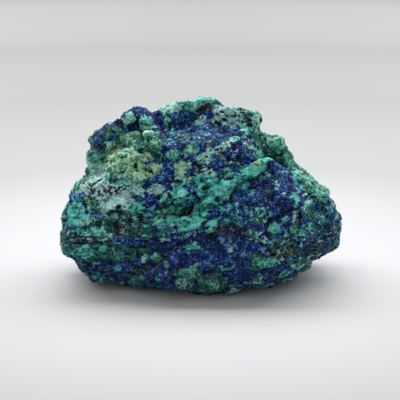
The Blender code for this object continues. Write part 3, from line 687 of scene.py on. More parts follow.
PATCHES = (
    FACE_PATCHES + CREST_PATCHES + SPECKLED_BLOCK_PATCHES + BLUE_SLOPE_PATCHES + GREEN_KNOB_PATCHES
    + LEFT_HUMP_PATCHES + LIME_SHELF_PATCHES + PALE_SLOPE_PATCHES + LOBE_PATCHES + DARK_FACE_PATCHES
    + STRIPED_CRACK_PATCHES + FIBROUS_BAND_PATCHES + LOWER_LEFT_PATCHES + MIDDLE_LEDGES_PATCHES
    + BIG_DOME_PATCHES + RIGHT_SLOPE_PATCHES + RIGHT_END_PATCHES + SPECKLED_HOLLOW_PATCHES + BELLY_PATCHES
    + GREEN_FEET_PATCHES
)

# Small forms on the front, area by area: the rise in mm, and then an oval or a band, as in PATCHES.
OUTLINE_FORMS = (
    (-2.3, 116, 120, 7, 5, 30), (-0.4, 131, 111, 7, 3.6, 20), (2.7, 95, 158, 6, 12), (-1.5, 91, 134, 6, 5),
    (1.6, 92, 172, 6, 6), (1, 157, 116, 6, 4), (1.5, 170, 110, 14, 6, 15), (1, 191, 105, 12, 7, 5),
    (0.8, 202, 100, 7, 3, 5), (0.8, 215, 101, 5, 3), (-0.6, 239, 110, 8, 4, -10),
    (1.5, 7, (278, 144), (282, 152), (287, 159)), (0.9, 326, 194, 5, 6), (-0.4, 338, 219, 4, 8),
)
LEFT_HUMP_FORMS = (
    (1.1, 130, 119, 6, 5.4), (0.7, 124.3, 121.5, 2.8, 5, 20), (-0.7, 134, 127, 5.4, 3.6),
    (1.2, 147, 120.5, 6.4, 3.8, -8), (1, 148, 127.4, 8, 3.4, -8), (-0.4, 1, (143, 124.5), (153, 124)),
    (0.8, 141, 110, 6, 3.6), (0.6, 129, 113.5, 5, 2.4, 10),
    (1.5, 3.6, (129, 136), (137, 135), (147, 136), (158, 136)), (1.1, 129.5, 141, 4.6, 6.4),
    (-1.1, 140, 142.5, 6, 4, -10), (1.6, 154, 145, 7, 6),
    (-0.6, 1.2, (147, 139.5), (152, 138.4), (159, 139.5)),
    (-0.8, 2.4, (140, 150.5), (149, 152.5), (158, 156)), (0.7, 116.5, 138, 4, 5.6),
    (0.6, 109, 133.5, 3.6, 7, 35), (-0.5, 1.6, (114.5, 132), (110, 141)), (0.7, 100, 154, 5, 5),
)
LIME_SHELF_FORMS = (
    (0.6, 3.4, (108, 156), (117, 151), (130, 151)), (0.6, 3.2, (110, 167), (122, 161), (138, 156)),
    (0.5, 2.4, (124, 176), (128, 169), (134, 163)), (-0.7, 1.6, (103, 161), (111, 162.5), (121, 157.5)),
    (-0.6, 1.6, (108, 166), (114, 173), (124, 171)), (-0.7, 2, (135, 165), (138, 170)),
    (-0.7, 1.8, (145, 167), (152, 171.5)), (0.9, 140, 177, 13, 7), (-0.4, 142, 181, 3, 1.8),
    (-0.5, 2.2, (111, 172), (112, 181)), (-0.5, 1.4, (137, 161), (147, 162), (158, 160)),
)
CREST_FORMS = (
    (1.1, 181, 119, 8.4, 8), (-1, 3.2, (169, 116), (169, 128)), (0.5, 3, (179, 108), (190, 107)),
    (-0.3, 200, 109, 7, 2.6, 40), (-0.35, 194, 116.5, 3.4, 3), (-0.5, 217, 103, 4.6, 2.6, -20),
    (-0.5, 221.5, 111.5, 2.2, 2), (-0.4, 217, 115, 3, 1.6), (-0.5, 218.5, 123, 3.6, 2.4, -20),
    (-0.3, 224, 120, 2.6, 1.8), (-0.4, 233.5, 116.5, 4.6, 1.8), (-0.3, 238, 127, 2, 2.4),
    (0.8, 256, 122, 5.6, 11), (0.9, 4, (215, 131), (226, 130), (237, 131)), (-0.6, 2, (213, 126), (212, 134)),
    (-0.5, 3, (190, 131), (200, 134)), (-0.6, 191.5, 138.7, 2.2, 2), (0.9, 204, 147.5, 6.4, 4.6),
    (1.1, 173.5, 155, 6.6, 5.8), (1.1, 190, 149.7, 6, 5), (-0.5, 182, 156.5, 2, 3),
    (0.25, 235, 139, 6.6, 4, 15), (-0.7, 233.5, 144.5, 4, 1.5),
    (0.25, 4, (204, 156), (213, 151), (222, 146.5), (231, 142.5)), (-0.5, 2.4, (222, 152), (230, 160)),
    (-0.6, 2.4, (233, 162), (240, 156)), (0.5, 252.5, 151.5, 5.6, 4.6), (-0.5, 252.5, 152.6, 2.4, 2.2),
    (0.9, 182, 169, 9, 10, -15), (0.9, 165, 179, 9, 6, 10), (0.6, 156, 168, 6, 5), (-0.5, 197.5, 165, 3.4, 2),
    (0.6, 206, 172.5, 10, 4),
)
GREEN_KNOB_FORMS = (
    (0.9, 273, 145, 8.4, 7), (-0.7, 280, 154, 2.6, 3.2), (-0.6, 1.8, (264.5, 139), (264.5, 145)),
    (-0.5, 1.5, (264, 149), (268, 155.5), (275, 158.5)), (-0.9, 1.9, (252, 161.5), (259, 159.5), (267, 159)),
)
MIDDLE_LEDGES_FORMS = (
    (1.7, 226, 172.5, 6.4, 5.4), (-0.9, 1.6, (232, 171.6), (241, 172.4)), (-0.7, 229, 178.6, 4, 1.5, 20),
    (0.9, 5.6, (248, 173), (256, 168.5), (264, 164.5), (271, 162.5)),
    (-0.4, 2, (248, 181), (254, 179), (262, 175.5)), (0.8, 5.6, (218, 192), (224, 188), (231, 185)),
    (-0.4, 240, 180, 4, 4), (1.1, 180, 191, 8.4, 6.4, 18),
    (-0.8, 1.8, (173, 200), (182, 199.6), (189, 196.5)), (-0.6, 169.5, 196, 2.4, 4, 20),
    (0.8, 2.4, (200, 187), (205, 183), (211, 181)), (-0.7, 204.5, 187.6, 3.4, 1.8, 15),
    (1, 2.4, (199, 195.4), (205, 196.6), (211, 198)), (-0.8, 2.8, (195, 195), (199, 203)),
    (1.5, 208.5, 204, 7.8, 6.4, 10), (-0.5, 208.5, 207, 3.6, 2.2, 20), (1.1, 3.4, (197, 207), (196, 216)),
    (1, 205, 214.3, 4.6, 3.2, 15), (0.9, 214.6, 213, 5, 3.4, 22), (0.7, 218.6, 218.4, 4.6, 2.4, 10),
    (-0.5, 1, (202, 210), (210, 211)), (0.9, 178, 211, 5, 3, 15), (-0.3, 188, 212, 4, 3, 20),
    (0.8, 1.5, (178, 208.6), (185, 205.6), (191, 204)), (-0.7, 1.8, (160, 209), (167, 207.5), (173, 206)),
    (1.2, 5.2, (171, 220), (182, 221), (194, 223), (204, 222)), (0.6, 186, 229, 11, 3.4, 5),
    (0.6, 157, 223, 5, 2, 25), (-0.5, 1.3, (158, 217.5), (166, 216.5), (174, 215.6)),
    (0.6, 2.6, (182, 237.5), (190, 233), (199, 227)), (-0.7, 217.4, 199.5, 2, 3.6),
    (-0.8, 230.6, 199, 3, 4.6, -10), (0.9, 212.5, 223.5, 5, 3.6, 15), (0.6, 210.5, 230.5, 4, 4),
    (-0.6, 2, (203, 226), (209, 220)), (-0.8, 212, 237.5, 4.4, 4.4),
)
BIG_DOME_FORMS = (
    (-0.5, 2, (283, 166), (291, 174)), (0.6, 283.5, 173.5, 5, 3, -15), (0.7, 294.5, 199, 5.4, 7.8),
    (-0.8, 2.1, (270, 222), (279, 218), (290, 211.5), (300, 207)), (-0.8, 299, 218, 3.4, 6),
    (-0.7, 2.4, (266, 230), (271, 239)), (0.7, 275, 228, 7, 5.6), (0.7, 294, 229.5, 4.4, 6),
    (0.6, 302, 233, 5.6, 3.6), (-0.7, 1.9, (296, 238), (310, 238), (325, 237.5), (337, 235.5)),
    (-0.5, 2.4, (306, 187), (309, 193), (314, 198)), (0.6, 308, 203, 6, 3, 28),
    (-0.6, 2, (262, 244.5), (268, 247.5), (273, 254)), (0.9, 5, (256, 262), (266, 263), (274, 262)),
    (0.6, 307, 241.5, 4.4, 2),
)
LEFT_END_FORMS = (
    (1.1, 79, 217, 12, 16, 8), (0.6, 97, 215, 4.4, 3.6, -15), (-0.7, 86, 228.6, 5.4, 3.4, 5),
    (-0.5, 98.5, 223, 3, 3.4, -40), (0.8, 3, (72, 198), (78, 196.3), (85, 194.3)),
    (-0.5, 1.7, (83, 200), (85.3, 206), (87, 213)), (1, 5, (104, 208.5), (112, 204), (120, 200), (125, 197)),
    (0.9, 128, 204, 7.6, 6), (0.6, 139, 206, 5, 4.4), (-0.7, 118, 208, 3, 2.8),
    (-0.7, 2.2, (113, 211), (121, 213.4)), (-0.8, 117, 229, 4, 7), (-0.8, 139.5, 218, 3, 6.4, 8),
    (-0.5, 145.5, 206, 2.6, 3), (0.7, 138, 190.5, 7.6, 6), (0.8, 85, 187.5, 5.4, 5),
    (-0.5, 1.8, (102, 179), (97, 182), (93, 185)),
    (-0.6, 1.3, (62, 243.2), (80, 242.6), (100, 243.2), (112, 245)),
    (-0.5, 1.1, (74, 237), (86, 238), (100, 237.4)), (0.6, 2.4, (114, 241), (117, 238), (130, 241.4)),
    (-0.6, 128, 254, 4.8, 1.5), (-0.7, 142, 247, 14, 2, -4),
)
FOOT_FORMS = (
    (0.9, 145, 258.6, 4.6, 4.4), (-0.5, 145, 259.8, 1.8, 1.5), (0.9, 157, 257, 5, 5),
    (-0.6, 164.5, 256.5, 3, 4.4), (0.8, 138, 262.5, 8.4, 4.8, 5), (-0.7, 131, 273.5, 5, 2.8),
    (0.8, 166.5, 265, 3.4, 3.8, -40), (0.7, 118, 268, 4, 4), (0.3, 192, 246.5, 9.4, 3.2),
    (1.2, 187, 274, 12, 7), (0.9, 184, 284, 8.4, 5, -5), (-0.5, 181.8, 282, 1.6, 1.6),
    (-0.4, 179.6, 285.4, 1.3, 1.3), (-0.5, 188.3, 286.2, 2.6, 1.2), (1.4, 212, 283, 14, 9.4),
    (-0.8, 2.2, (196, 275), (197.5, 286)),
)
FORMS = (
    OUTLINE_FORMS + LEFT_HUMP_FORMS + LIME_SHELF_FORMS + CREST_FORMS + GREEN_KNOB_FORMS + MIDDLE_LEDGES_FORMS
    + BIG_DOME_FORMS + LEFT_END_FORMS + FOOT_FORMS
)

# Grain of each mineral's relief: how it stands out from the skin, in mm.
# kind, cell width, height
RELIEF = {
    "azurite": (("nodule", 2.4, 0.40), ("facet", 0.9, 0.45)),
    "royal": (("nodule", 2.2, 0.40), ("facet", 0.9, 0.40)),
    "frost": (("nodule", 1.6, 0.45), ("facet", 0.9, 0.50)),
    "teal": (("nodule", 3.0, 0.22), ("cloud", 1.2, 0.18)),
    "jade": (("nodule", 3.0, 0.18), ("cloud", 1.2, 0.18)),
    "mint": (("nodule", 1.6, 0.15), ("cloud", 0.9, 0.22)),
    "green": (("nodule", 2.2, 0.30), ("cloud", 0.9, 0.20)),
    "bottle": (("nodule", 2.8, 0.20), ("cloud", 0.9, 0.20)),
    "crust": (("nodule", 1.2, 0.25), ("cloud", 0.9, 0.32)),
    "lime": (("nodule", 1.6, 0.10), ("cloud", 1.0, 0.34)),
    "soot": (("cloud", 0.9, 0.40), ("sink", 0.0, 0.32)),
    "ochre": (("cloud", 1.2, 0.25),),
}

# The grains that grow on the skin, each kind a piece of its own:
# name, minerals it grows on, form, grains per square mm, smallest and largest size in mm, lean in degrees
GRAINS = (
    ("azurite_druse_coarse", ("azurite", "royal", "frost"), "blade", 0.70, 0.55, 1.00, 65),
    ("azurite_druse_fine", ("azurite", "royal", "frost"), "blade", 0.70, 0.35, 0.60, 80),
    ("pale_crust_grains", ("crust", "mint", "lime", "ochre"), "pebble", 2.2, 0.25, 0.60, 90),
    ("malachite_grains", ("teal", "jade", "green", "bottle", "soot"), "pebble", 1.2, 0.30, 0.75, 90),
)
GRAIN_SINK = 0.25         # share of a grain's size by which it stands in the skin
BARE_BAND = (1.0, 2.5)    # mm above the floor between which the grains begin
TONE_SEED = 99            # of each grain's own tone

# A crystal, one unit high: half its width and depth, what shares of them its shoulder has and how high it is,
# and the slanted roof over it. A pebble: how closely its dents lie, and how deep they are.
BLADE_HALVES = (0.5, 0.26)
BLADE_SHOULDER = (0.8, 0.6, 0.36)
ROOF_SLANT = 0.30
ROOF_PEAK = (-0.10, 0.0, 0.5)
PEBBLE_DENTS = (9, 0.25)

FLAT_MAP = "OFBake"       # the name of the flat map that a finish can be drawn on
MAP_GAP = 1.0             # mm between the views of the skin on its flat map

# The finish. A mineral's tone is noise, lighter or darker with each crystal, with each grain, in broad
# clouds, and
# with what stands proud: a painted highlight on it and painted shade in hollows. These are the shares of
# each.
CRYSTAL_WIDTH = 0.75      # mm
NOISE_TONE = 0.8
CRYSTAL_TONE = 0.14
RELIEF_SHADE_AND_HIGHLIGHT = -0.16
GRAIN_TONE = 0.24
MEAN_TONE = 0.5           # the tone of the skin between the grains
DRIFT_WIDTH = 5.0         # mm
DRIFT_MEAN = 0.36
DRIFT_TONE = 0.22
STREAKS = (0.45, 0.8, 1.0)     # how far the noise is drawn out along the beds

# Each mineral's tones: width in mm, detail and roughness of its noise, whether it is streaked along the beds,
# and then its colours by the noise's height: (height, (red, green, blue)) each.
TONES = {
    # blue-green malachite, and the bright kind of the ledges
    "teal": ((2.0, 5.0, 0.7, True), (0.37, (0.005, 0.020, 0.034)), (0.44, (0.020, 0.135, 0.140)),
             (0.54, (0.075, 0.420, 0.368)), (0.67, (0.240, 0.680, 0.590))),
    "jade": ((2.0, 4.0, 0.7, True), (0.36, (0.010, 0.045, 0.055)), (0.43, (0.036, 0.240, 0.200)),
             (0.52, (0.092, 0.540, 0.440)), (0.66, (0.210, 0.690, 0.560))),
    # dark bottle-green and grass-green malachite
    "bottle": ((1.4, 5.0, 0.75, True), (0.38, (0.005, 0.009, 0.011)), (0.45, (0.011, 0.049, 0.045)),
               (0.56, (0.025, 0.142, 0.120)), (0.68, (0.110, 0.340, 0.295))),
    "green": ((1.5, 4.0, 0.7, False), (0.37, (0.005, 0.011, 0.013)), (0.45, (0.021, 0.078, 0.058)),
              (0.55, (0.080, 0.285, 0.200)), (0.67, (0.310, 0.650, 0.470))),
    # yellow-green crust
    "lime": ((1.2, 4.0, 0.75, False), (0.37, (0.018, 0.034, 0.020)), (0.43, (0.104, 0.220, 0.122)),
             (0.52, (0.275, 0.505, 0.320)), (0.65, (0.460, 0.690, 0.480))),
    # pale blue-green, almost white on its grains
    "mint": ((1.0, 4.0, 0.75, False), (0.36, (0.012, 0.036, 0.046)), (0.43, (0.070, 0.220, 0.205)),
             (0.52, (0.220, 0.520, 0.440)), (0.65, (0.460, 0.730, 0.640))),
    # grey-white crust with dark gaps
    "crust": ((0.7, 4.0, 0.8, False), (0.34, (0.008, 0.010, 0.012)), (0.41, (0.085, 0.132, 0.134)),
              (0.51, (0.300, 0.495, 0.470)), (0.62, (0.560, 0.805, 0.780))),
    # navy azurite with near-black gaps
    "azurite": ((1.3, 4.0, 0.8, False), (0.39, (0.002, 0.003, 0.016)), (0.46, (0.004, 0.006, 0.052)),
                (0.55, (0.012, 0.026, 0.160)), (0.62, (0.036, 0.085, 0.240)), (0.70, (0.160, 0.340, 0.420))),
    # bright violet-blue velvet
    "royal": ((1.0, 3.0, 0.75, False), (0.39, (0.003, 0.003, 0.028)), (0.46, (0.006, 0.012, 0.130)),
              (0.55, (0.019, 0.053, 0.310)), (0.67, (0.135, 0.360, 0.560))),
    # pale blue-grey sugar
    "frost": ((0.7, 2.0, 0.75, False), (0.38, (0.004, 0.005, 0.050)), (0.46, (0.028, 0.050, 0.200)),
              (0.54, (0.110, 0.210, 0.440)), (0.66, (0.340, 0.560, 0.610))),
    # rusty limonite
    "ochre": ((0.9, 3.0, 0.7, False), (0.38, (0.040, 0.034, 0.014)), (0.50, (0.170, 0.125, 0.040)),
              (0.66, (0.330, 0.270, 0.120))),
    # brown-black specks of the host rock, also laid as painted shade in crevices, under ledges and on parts
    # lit too brightly
    "soot": ((0.7, 3.0, 0.7, False), (0.43, (0.009, 0.011, 0.016)), (0.53, (0.044, 0.054, 0.066)),
             (0.66, (0.230, 0.290, 0.290))),
}

# The blue-green glints between azurite's grains: width in mm and detail of their noise, and where they show.
GLINT_GRAIN = (0.40, 1.0)
GLINT_BAND = (0.58, 0.68)
GLINT_SHARE = 0.42
GLINT_COLOUR = (0.12, 0.30, 0.34, 1)

# The ragged edge of one mineral against the next: the width of its noise in mm, wider by a step for each
# mineral, its detail and roughness, its mean, and the shares of the mineral between which it runs.
RAGGED_WIDTH = 0.55
RAGGED_STEP = 0.05
RAGGED_GRAIN = (2.0, 0.7)
RAGGED_MEAN = 0.5
RAGGED_BAND = (0.26, 0.74)

PAINTED_SHADE = (0.006, 0.009, 0.016, 1)    # painted shade: the near-black that the hollows and the foot fade to
HOLLOW_SHADE_BAND = (0.05, 0.9)             # mm of hollow between which the painted shade comes in
HOLLOW_SHADE_SHARE = 0.5
FOOT_SHADE_BAND = (2.0, 24.0)               # mm above the floor between which the foot's painted shade fades out
FOOT_SHADE = 0.40
ROUGHNESS = 0.5
SHEEN = 0.05
BUMP_STRENGTH = 0.45
BUMP_HEIGHT = 0.25 * MM
BUMP_GRAIN = (0.5, 3.0, 0.7)          # width in mm, detail and roughness of its noise

def new_object(name, data):
    """An object in the scene."""
    made = bpy.data.objects.new(name, data)
    bpy.context.scene.collection.objects.link(made)
    return made


def take_up_modifiers(piece):
    """Makes what a piece's modifiers show its own plain mesh."""
    graph = bpy.context.evaluated_depsgraph_get()
    piece.data = bpy.data.meshes.new_from_object(piece.evaluated_get(graph))
    piece.modifiers.clear()


def numbers_of(items, name, width=1, kind=float):
    """A number, or a row of them, for each item of a mesh."""
    values = np.empty(len(items) * width, dtype=kind)
    items.foreach_get(name, values)
    return values.reshape(-1, width) if width > 1 else values


def store(mesh, name, values):
    """Keeps a number at each point of a mesh."""
    mesh.attributes.new(name, "FLOAT", "POINT").data.foreach_set("value", values.astype(np.float32))


def smoothstep(low, high, value):
    """0 below low, 1 above high, and an easy curve between them."""
    share = np.clip((value - low) / (high - low), 0.0, 1.0)
    return share * share * (3 - 2 * share)


def noise_places(points, width, seed):
    """The points in cells of this width, at a far place in the noise for each seed."""
    offset = Vector([start + step * seed for start, step in zip(SEED_START, SEED_STEP)])
    for point in points:
        yield Vector(point) / width + offset


def cloud(points, width, seed, octaves=3):
    """Fractal noise at each point, about -1 to 1."""
    places = noise_places(points, width, seed)
    return np.array([noise.fractal(place, *FRACTAL, octaves) for place in places])


def facets(points, width, seed):
    """Flat faces with a tilt each, as broken or crystal faces have, about -0.5 to 0.5."""
    heights = []
    for place in noise_places(points, width, seed):
        cell = noise.voronoi(place)[1][0]
        tilt = noise.cell_vector(cell * TILT_STEP) * 2 - Vector((1, 1, 1))
        heights.append((place - cell).dot(tilt))
    return np.array(heights)


def nodules(points, width, seed):
    """Rounded cells with creases between them, from 0 in a crease to 1 on a top."""
    heights = []
    for place in noise_places(points, width, seed):
        nearest, second = noise.voronoi(place)[0][:2]
        heights.append(min((second - nearest) * CREASE, 1.0))
    return np.sqrt(heights)


# What each kind of relief adds to the skin, as a share of its height.
RELIEF_KINDS = {
    "facet": facets,
    "nodule": lambda points, width, seed: nodules(points, width, seed) - NODULE_MEAN,
    "cloud": cloud,
    "sink": lambda points, width, seed: -1.0,
}


def ranked(values):
    """The values as even shares from 0 to 1, in the same order."""
    shares = np.empty(len(values))
    shares[np.argsort(values, kind="stable")] = np.linspace(0.0, 1.0, len(values))
    return shares


def along_beds(points):
    """The points set so that what is laid over them runs along the rock's beds."""
    along = points[:, 0] * math.cos(BED_TILT) + points[:, 2] * math.sin(BED_TILT)
    across = points[:, 2] * math.cos(BED_TILT) - points[:, 0] * math.sin(BED_TILT)
    return np.stack((along, points[:, 1], across), axis=1) * BED_STRETCH


def sight(column, row):
    """The direction in which the camera sees a pixel."""
    centre = FRAME_PIXELS / 2
    return (RIGHT * (column - centre) + UP * (centre - row) - BACK * PIXELS_PER_TAN).normalized()


def pixel_size(place):
    """The size in mm of a pixel where the camera sees this place."""
    return (EYE - place * MM).length / PIXELS_PER_TAN / MM


def in_view(offsets):
    """How far offsets go to the right, up and towards the camera."""
    return offsets @ np.array(RIGHT), offsets @ np.array(UP), offsets @ np.array(BACK)


class Skin:
    """The rock's fine skin while it is being worked: its points in mm, their normals and their minerals."""

    def __init__(self, mesh):
        self.mesh = mesh
        self.points = numbers_of(mesh.vertices, "co", 3) / MM
        self.normals = numbers_of(mesh.vertices, "normal", 3)
        self.tree = BVHTree.FromPolygons([v.co for v in mesh.vertices], [p.vertices for p in mesh.polygons])
        self.minerals = np.zeros((len(self.points), len(MINERALS)))
        bend = [cloud(self.points, BEND[0], SEEDS["bend"] + axis) for axis in range(3)]
        self.bent = self.points + np.stack(bend, axis=1) * BEND[1]

    def seen_at(self, column, row):
        """The place on the skin, in mm, that shows at a pixel, or None."""
        place = self.tree.ray_cast(EYE, sight(column, row))[0]
        if place is None:
            print("nothing of the rock shows at", (column, row))
            return None
        return place / MM

    def lay(self, mineral, share):
        """Covers a share of each point with a mineral."""
        share = share[:, None]
        full = np.zeros(len(MINERALS))
        full[MINERALS.index(mineral)] = 1.0
        self.minerals = self.minerals * (1 - share) + full * share

    def of(self, mineral):
        """How much of each point is this mineral."""
        return self.minerals[:, MINERALS.index(mineral)]

    def reach_of_oval(self, column, row, half_width, half_height, turn=0):
        """How far each point lies from the middle of an oval, as a share of its size: 1 is its edge."""
        middle = self.seen_at(column, row)
        if middle is None:
            return np.full(len(self.bent), FAR_OFF)
        pixel = pixel_size(middle)
        across, up, deep = in_view(self.bent - np.array(middle))
        angle = math.radians(turn)
        along = across * math.cos(angle) + up * math.sin(angle)
        over = up * math.cos(angle) - across * math.sin(angle)
        depth = max(half_width, half_height) * pixel * DEPTH_SHARE + DEPTH_MORE
        return np.sqrt((along / (half_width * pixel)) ** 2 + (over / (half_height * pixel)) ** 2
                       + (deep / depth) ** 2)

    def reach_of_band(self, half, *pixels):
        """How far each point lies from a line through pixels, as a share of half the band's width."""
        reach = np.full(len(self.bent), FAR_OFF)
        knots = [self.seen_at(*pixel) for pixel in pixels]
        for start, end in zip(knots, knots[1:]):
            if start is None or end is None:
                continue
            width = half * pixel_size(start)
            run = np.array(end - start)
            offset = self.bent - np.array(start)
            share = np.clip(offset @ run / (run @ run), 0.0, 1.0)
            across, up, deep = in_view(offset - share[:, None] * run)
            aside = np.sqrt(across ** 2 + up ** 2)
            reach = np.minimum(reach, np.hypot(aside / width, deep / (width * DEPTH_SHARE + DEPTH_MORE)))
        return reach

    def reach_of(self, shape):
        """How far each point lies from an oval or a band, as a share of its size."""
        is_band = isinstance(shape[-1], tuple)
        return self.reach_of_band(*shape) if is_band else self.reach_of_oval(*shape)


def fine_skin():
    """A copy of the rock's solid, meshed finely and evenly."""
    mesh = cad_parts[NODE].data.copy()
    shape = bmesh.new()
    shape.from_mesh(mesh)
    bmesh.ops.remove_doubles(shape, verts=shape.verts, dist=WELD)
    shape.to_mesh(mesh)
    shape.free()
    skin = new_object("rock_skin", mesh)
    grid = skin.modifiers.new("grid", "REMESH")
    grid.mode = "VOXEL"
    grid.voxel_size = SKIN_CELL
    relax = skin.modifiers.new("relax", "SMOOTH")
    relax.iterations = SKIN_RELAX
    take_up_modifiers(skin)
    return skin


def lay_minerals(skin):
    """Lays the ground of minerals over the whole skin, and the patches on the front."""
    grain = {}
    for number, mineral in enumerate(MINERALS):
        width, octaves = PATCH_GRAIN
        grain[mineral] = ranked(cloud(skin.points, width, SEEDS["grain"] + number, octaves))

    def strew(mineral, cover):
        here = smoothstep(-COVER_BLUR, COVER_BLUR, cover * COVER_STRETCH - grain[mineral])
        skin.lay(mineral, here * smoothstep(0.0, COVER_FAINT, cover))

    skin.lay("teal", np.ones(len(skin.points)))
    beds = along_beds(skin.points)
    for number, (mineral, share, width, density) in enumerate(GROUND):
        clouds = ranked(cloud(beds, width, SEEDS["ground"] + number))
        strew(mineral, density * smoothstep(-GROUND_BLUR, GROUND_BLUR, share - clouds))
    for mineral, *patches in PATCHES:
        for share, *shape in patches:
            strew(mineral, share / 100 * smoothstep(*PATCH_EDGE, skin.reach_of(shape)))


def raise_forms(skin):
    """The height of the small forms at each point."""
    height = np.zeros(len(skin.points))
    for rise, *shape in FORMS:
        height += rise * smoothstep(*FORM_EDGE, skin.reach_of(shape))
    return height


def hollowness(skin, height):
    """How far each point lies below what is around it, in mm."""
    start, end = numbers_of(skin.mesh.edges, "vertices", 2, int).T
    count = np.bincount(start, minlength=len(height)) + np.bincount(end, minlength=len(height))
    around = height.copy()
    for _ in range(HOLLOW_STEPS):
        total = np.bincount(start, around[end], len(height)) + np.bincount(end, around[start], len(height))
        around = total / count
    return around - height


def raise_relief(skin):
    """Breaks the skin into each mineral's grain."""
    height = raise_forms(skin) + cloud(skin.points, BROAD_RELIEF[0], SEEDS["broad"]) * BROAD_RELIEF[1]
    far = smoothstep(*FAR_SIDE, skin.normals @ np.array(BACK))
    height += far * cloud(along_beds(skin.points), FAR_RELIEF[0], SEEDS["far"]) * FAR_RELIEF[1]
    for number, mineral in enumerate(MINERALS):
        held = skin.of(mineral)
        here = np.nonzero(held > TRACE)[0]
        for step, (kind, width, rise) in enumerate(RELIEF[mineral]):
            seed = SEEDS["relief"] + RELIEF_SEEDS * number + step
            form = RELIEF_KINDS[kind](skin.points[here], width, seed)
            height[here] += held[here] * form * rise
    height *= smoothstep(0.0, FLOOR_BAND, skin.points[:, 2])
    store(skin.mesh, "hollow", hollowness(skin, height))
    moved = skin.points + skin.normals * height[:, None]
    moved[:, 2] = np.maximum(moved[:, 2], 0.0)
    skin.mesh.vertices.foreach_set("co", (moved * MM).ravel())
    skin.mesh.update()


def store_minerals(skin):
    """Keeps each mineral's share as an attribute of the mesh."""
    store(skin.mesh, "tone", np.full(len(skin.points), MEAN_TONE))
    for mineral in MINERALS:
        store(skin.mesh, mineral, skin.of(mineral))


def closed_mesh(name, corners):
    """The convex shape round the corners."""
    shape = bmesh.new()
    for corner in corners:
        shape.verts.new(corner)
    bmesh.ops.convex_hull(shape, input=shape.verts)
    bmesh.ops.recalc_face_normals(shape, faces=shape.faces)
    mesh = bpy.data.meshes.new(name)
    shape.to_mesh(mesh)
    shape.free()
    return mesh


def blade():
    """A tabular crystal one unit high: a flat six-sided prism under a slanted roof."""
    half_across, half_deep = BLADE_HALVES
    narrow, thin, shoulder = BLADE_SHOULDER
    corners = []
    for step in range(6):
        angle = math.radians(60 * step + 30)
        across, deep = half_across * math.cos(angle), half_deep * math.sin(angle)
        corners.append((across, deep, -0.5))
        corners.append((across * narrow, deep * thin, shoulder - ROOF_SLANT * across))
    corners.append(ROOF_PEAK)
    return closed_mesh("blade", corners)


def pebble():
    """An uneven rounded grain one unit across."""
    close, dent = PEBBLE_DENTS
    shape = bmesh.new()
    bmesh.ops.create_icosphere(shape, subdivisions=1, radius=0.5)
    corners = [vert.co * (1.0 + dent * noise.noise(vert.co * close)) for vert in shape.verts]
    shape.free()
    return closed_mesh("pebble", corners)


GRAIN_FORMS = {"blade": blade, "pebble": pebble}


def store_map(mesh, places):
    """Keeps each corner's place on the flat map that a finish can be drawn on."""
    flat = mesh.uv_layers.new(name=FLAT_MAP)
    flat.uv.foreach_set("vector", places.astype(np.float32).ravel())


def map_skin(skin):
    """Lays the skin out flat as six views of it, from either end of each axis."""
    corners = numbers_of(skin.mesh.loops, "vertex_index", kind=int)
    starts = numbers_of(skin.mesh.polygons, "loop_start", kind=int)
    totals = numbers_of(skin.mesh.polygons, "loop_total", kind=int)
    facing = np.add.reduceat(skin.normals[corners], starts)
    axis = np.abs(facing).argmax(axis=1)
    far = facing[np.arange(len(axis)), axis] > 0
    axis, far = np.repeat(axis, totals), np.repeat(far, totals)
    spot = skin.points[corners] - skin.points.min(axis=0)
    size = np.ptp(skin.points, axis=0) + MAP_GAP
    each = np.arange(len(corners))
    column = np.array([0.0, size[2], 2 * size[2]])[axis]
    across = spot[each, np.array([2, 2, 1])[axis]] + column
    along = spot[each, np.array([1, 0, 0])[axis]] + far * size[0]
    sheet = max(2 * size[2] + size[1], 2 * size[0])
    store_map(skin.mesh, (np.stack([across, along], axis=1) + MAP_GAP / 2) / sheet)


def map_grains(mesh):
    """Gives every two faces of the grains, all of them triangles, a small square of the flat map."""
    face = np.arange(len(mesh.polygons))
    row = math.ceil(math.sqrt(len(face) / 2))
    square = np.stack([face // 2 % row, face // 2 // row], axis=1)
    lower, upper = ((0.1, 0.1), (0.8, 0.1), (0.1, 0.8)), ((0.9, 0.9), (0.2, 0.9), (0.9, 0.2))
    halves = np.array([lower, upper])[face % 2]
    store_map(mesh, (square[:, None] + halves) / row)


def feed(tree, node, inputs):
    """Links each input of a node to a socket, or sets its value."""
    for socket, value in inputs:
        if isinstance(value, bpy.types.NodeSocket):
            tree.links.new(value, node.inputs[socket])
        else:
            node.inputs[socket].default_value = value


def add_node(tree, kind, *inputs, **settings):
    """A node with its settings and its inputs."""
    node = tree.nodes.new(kind)
    for name, value in settings.items():
        setattr(node, name, value)
    feed(tree, node, inputs)
    return node


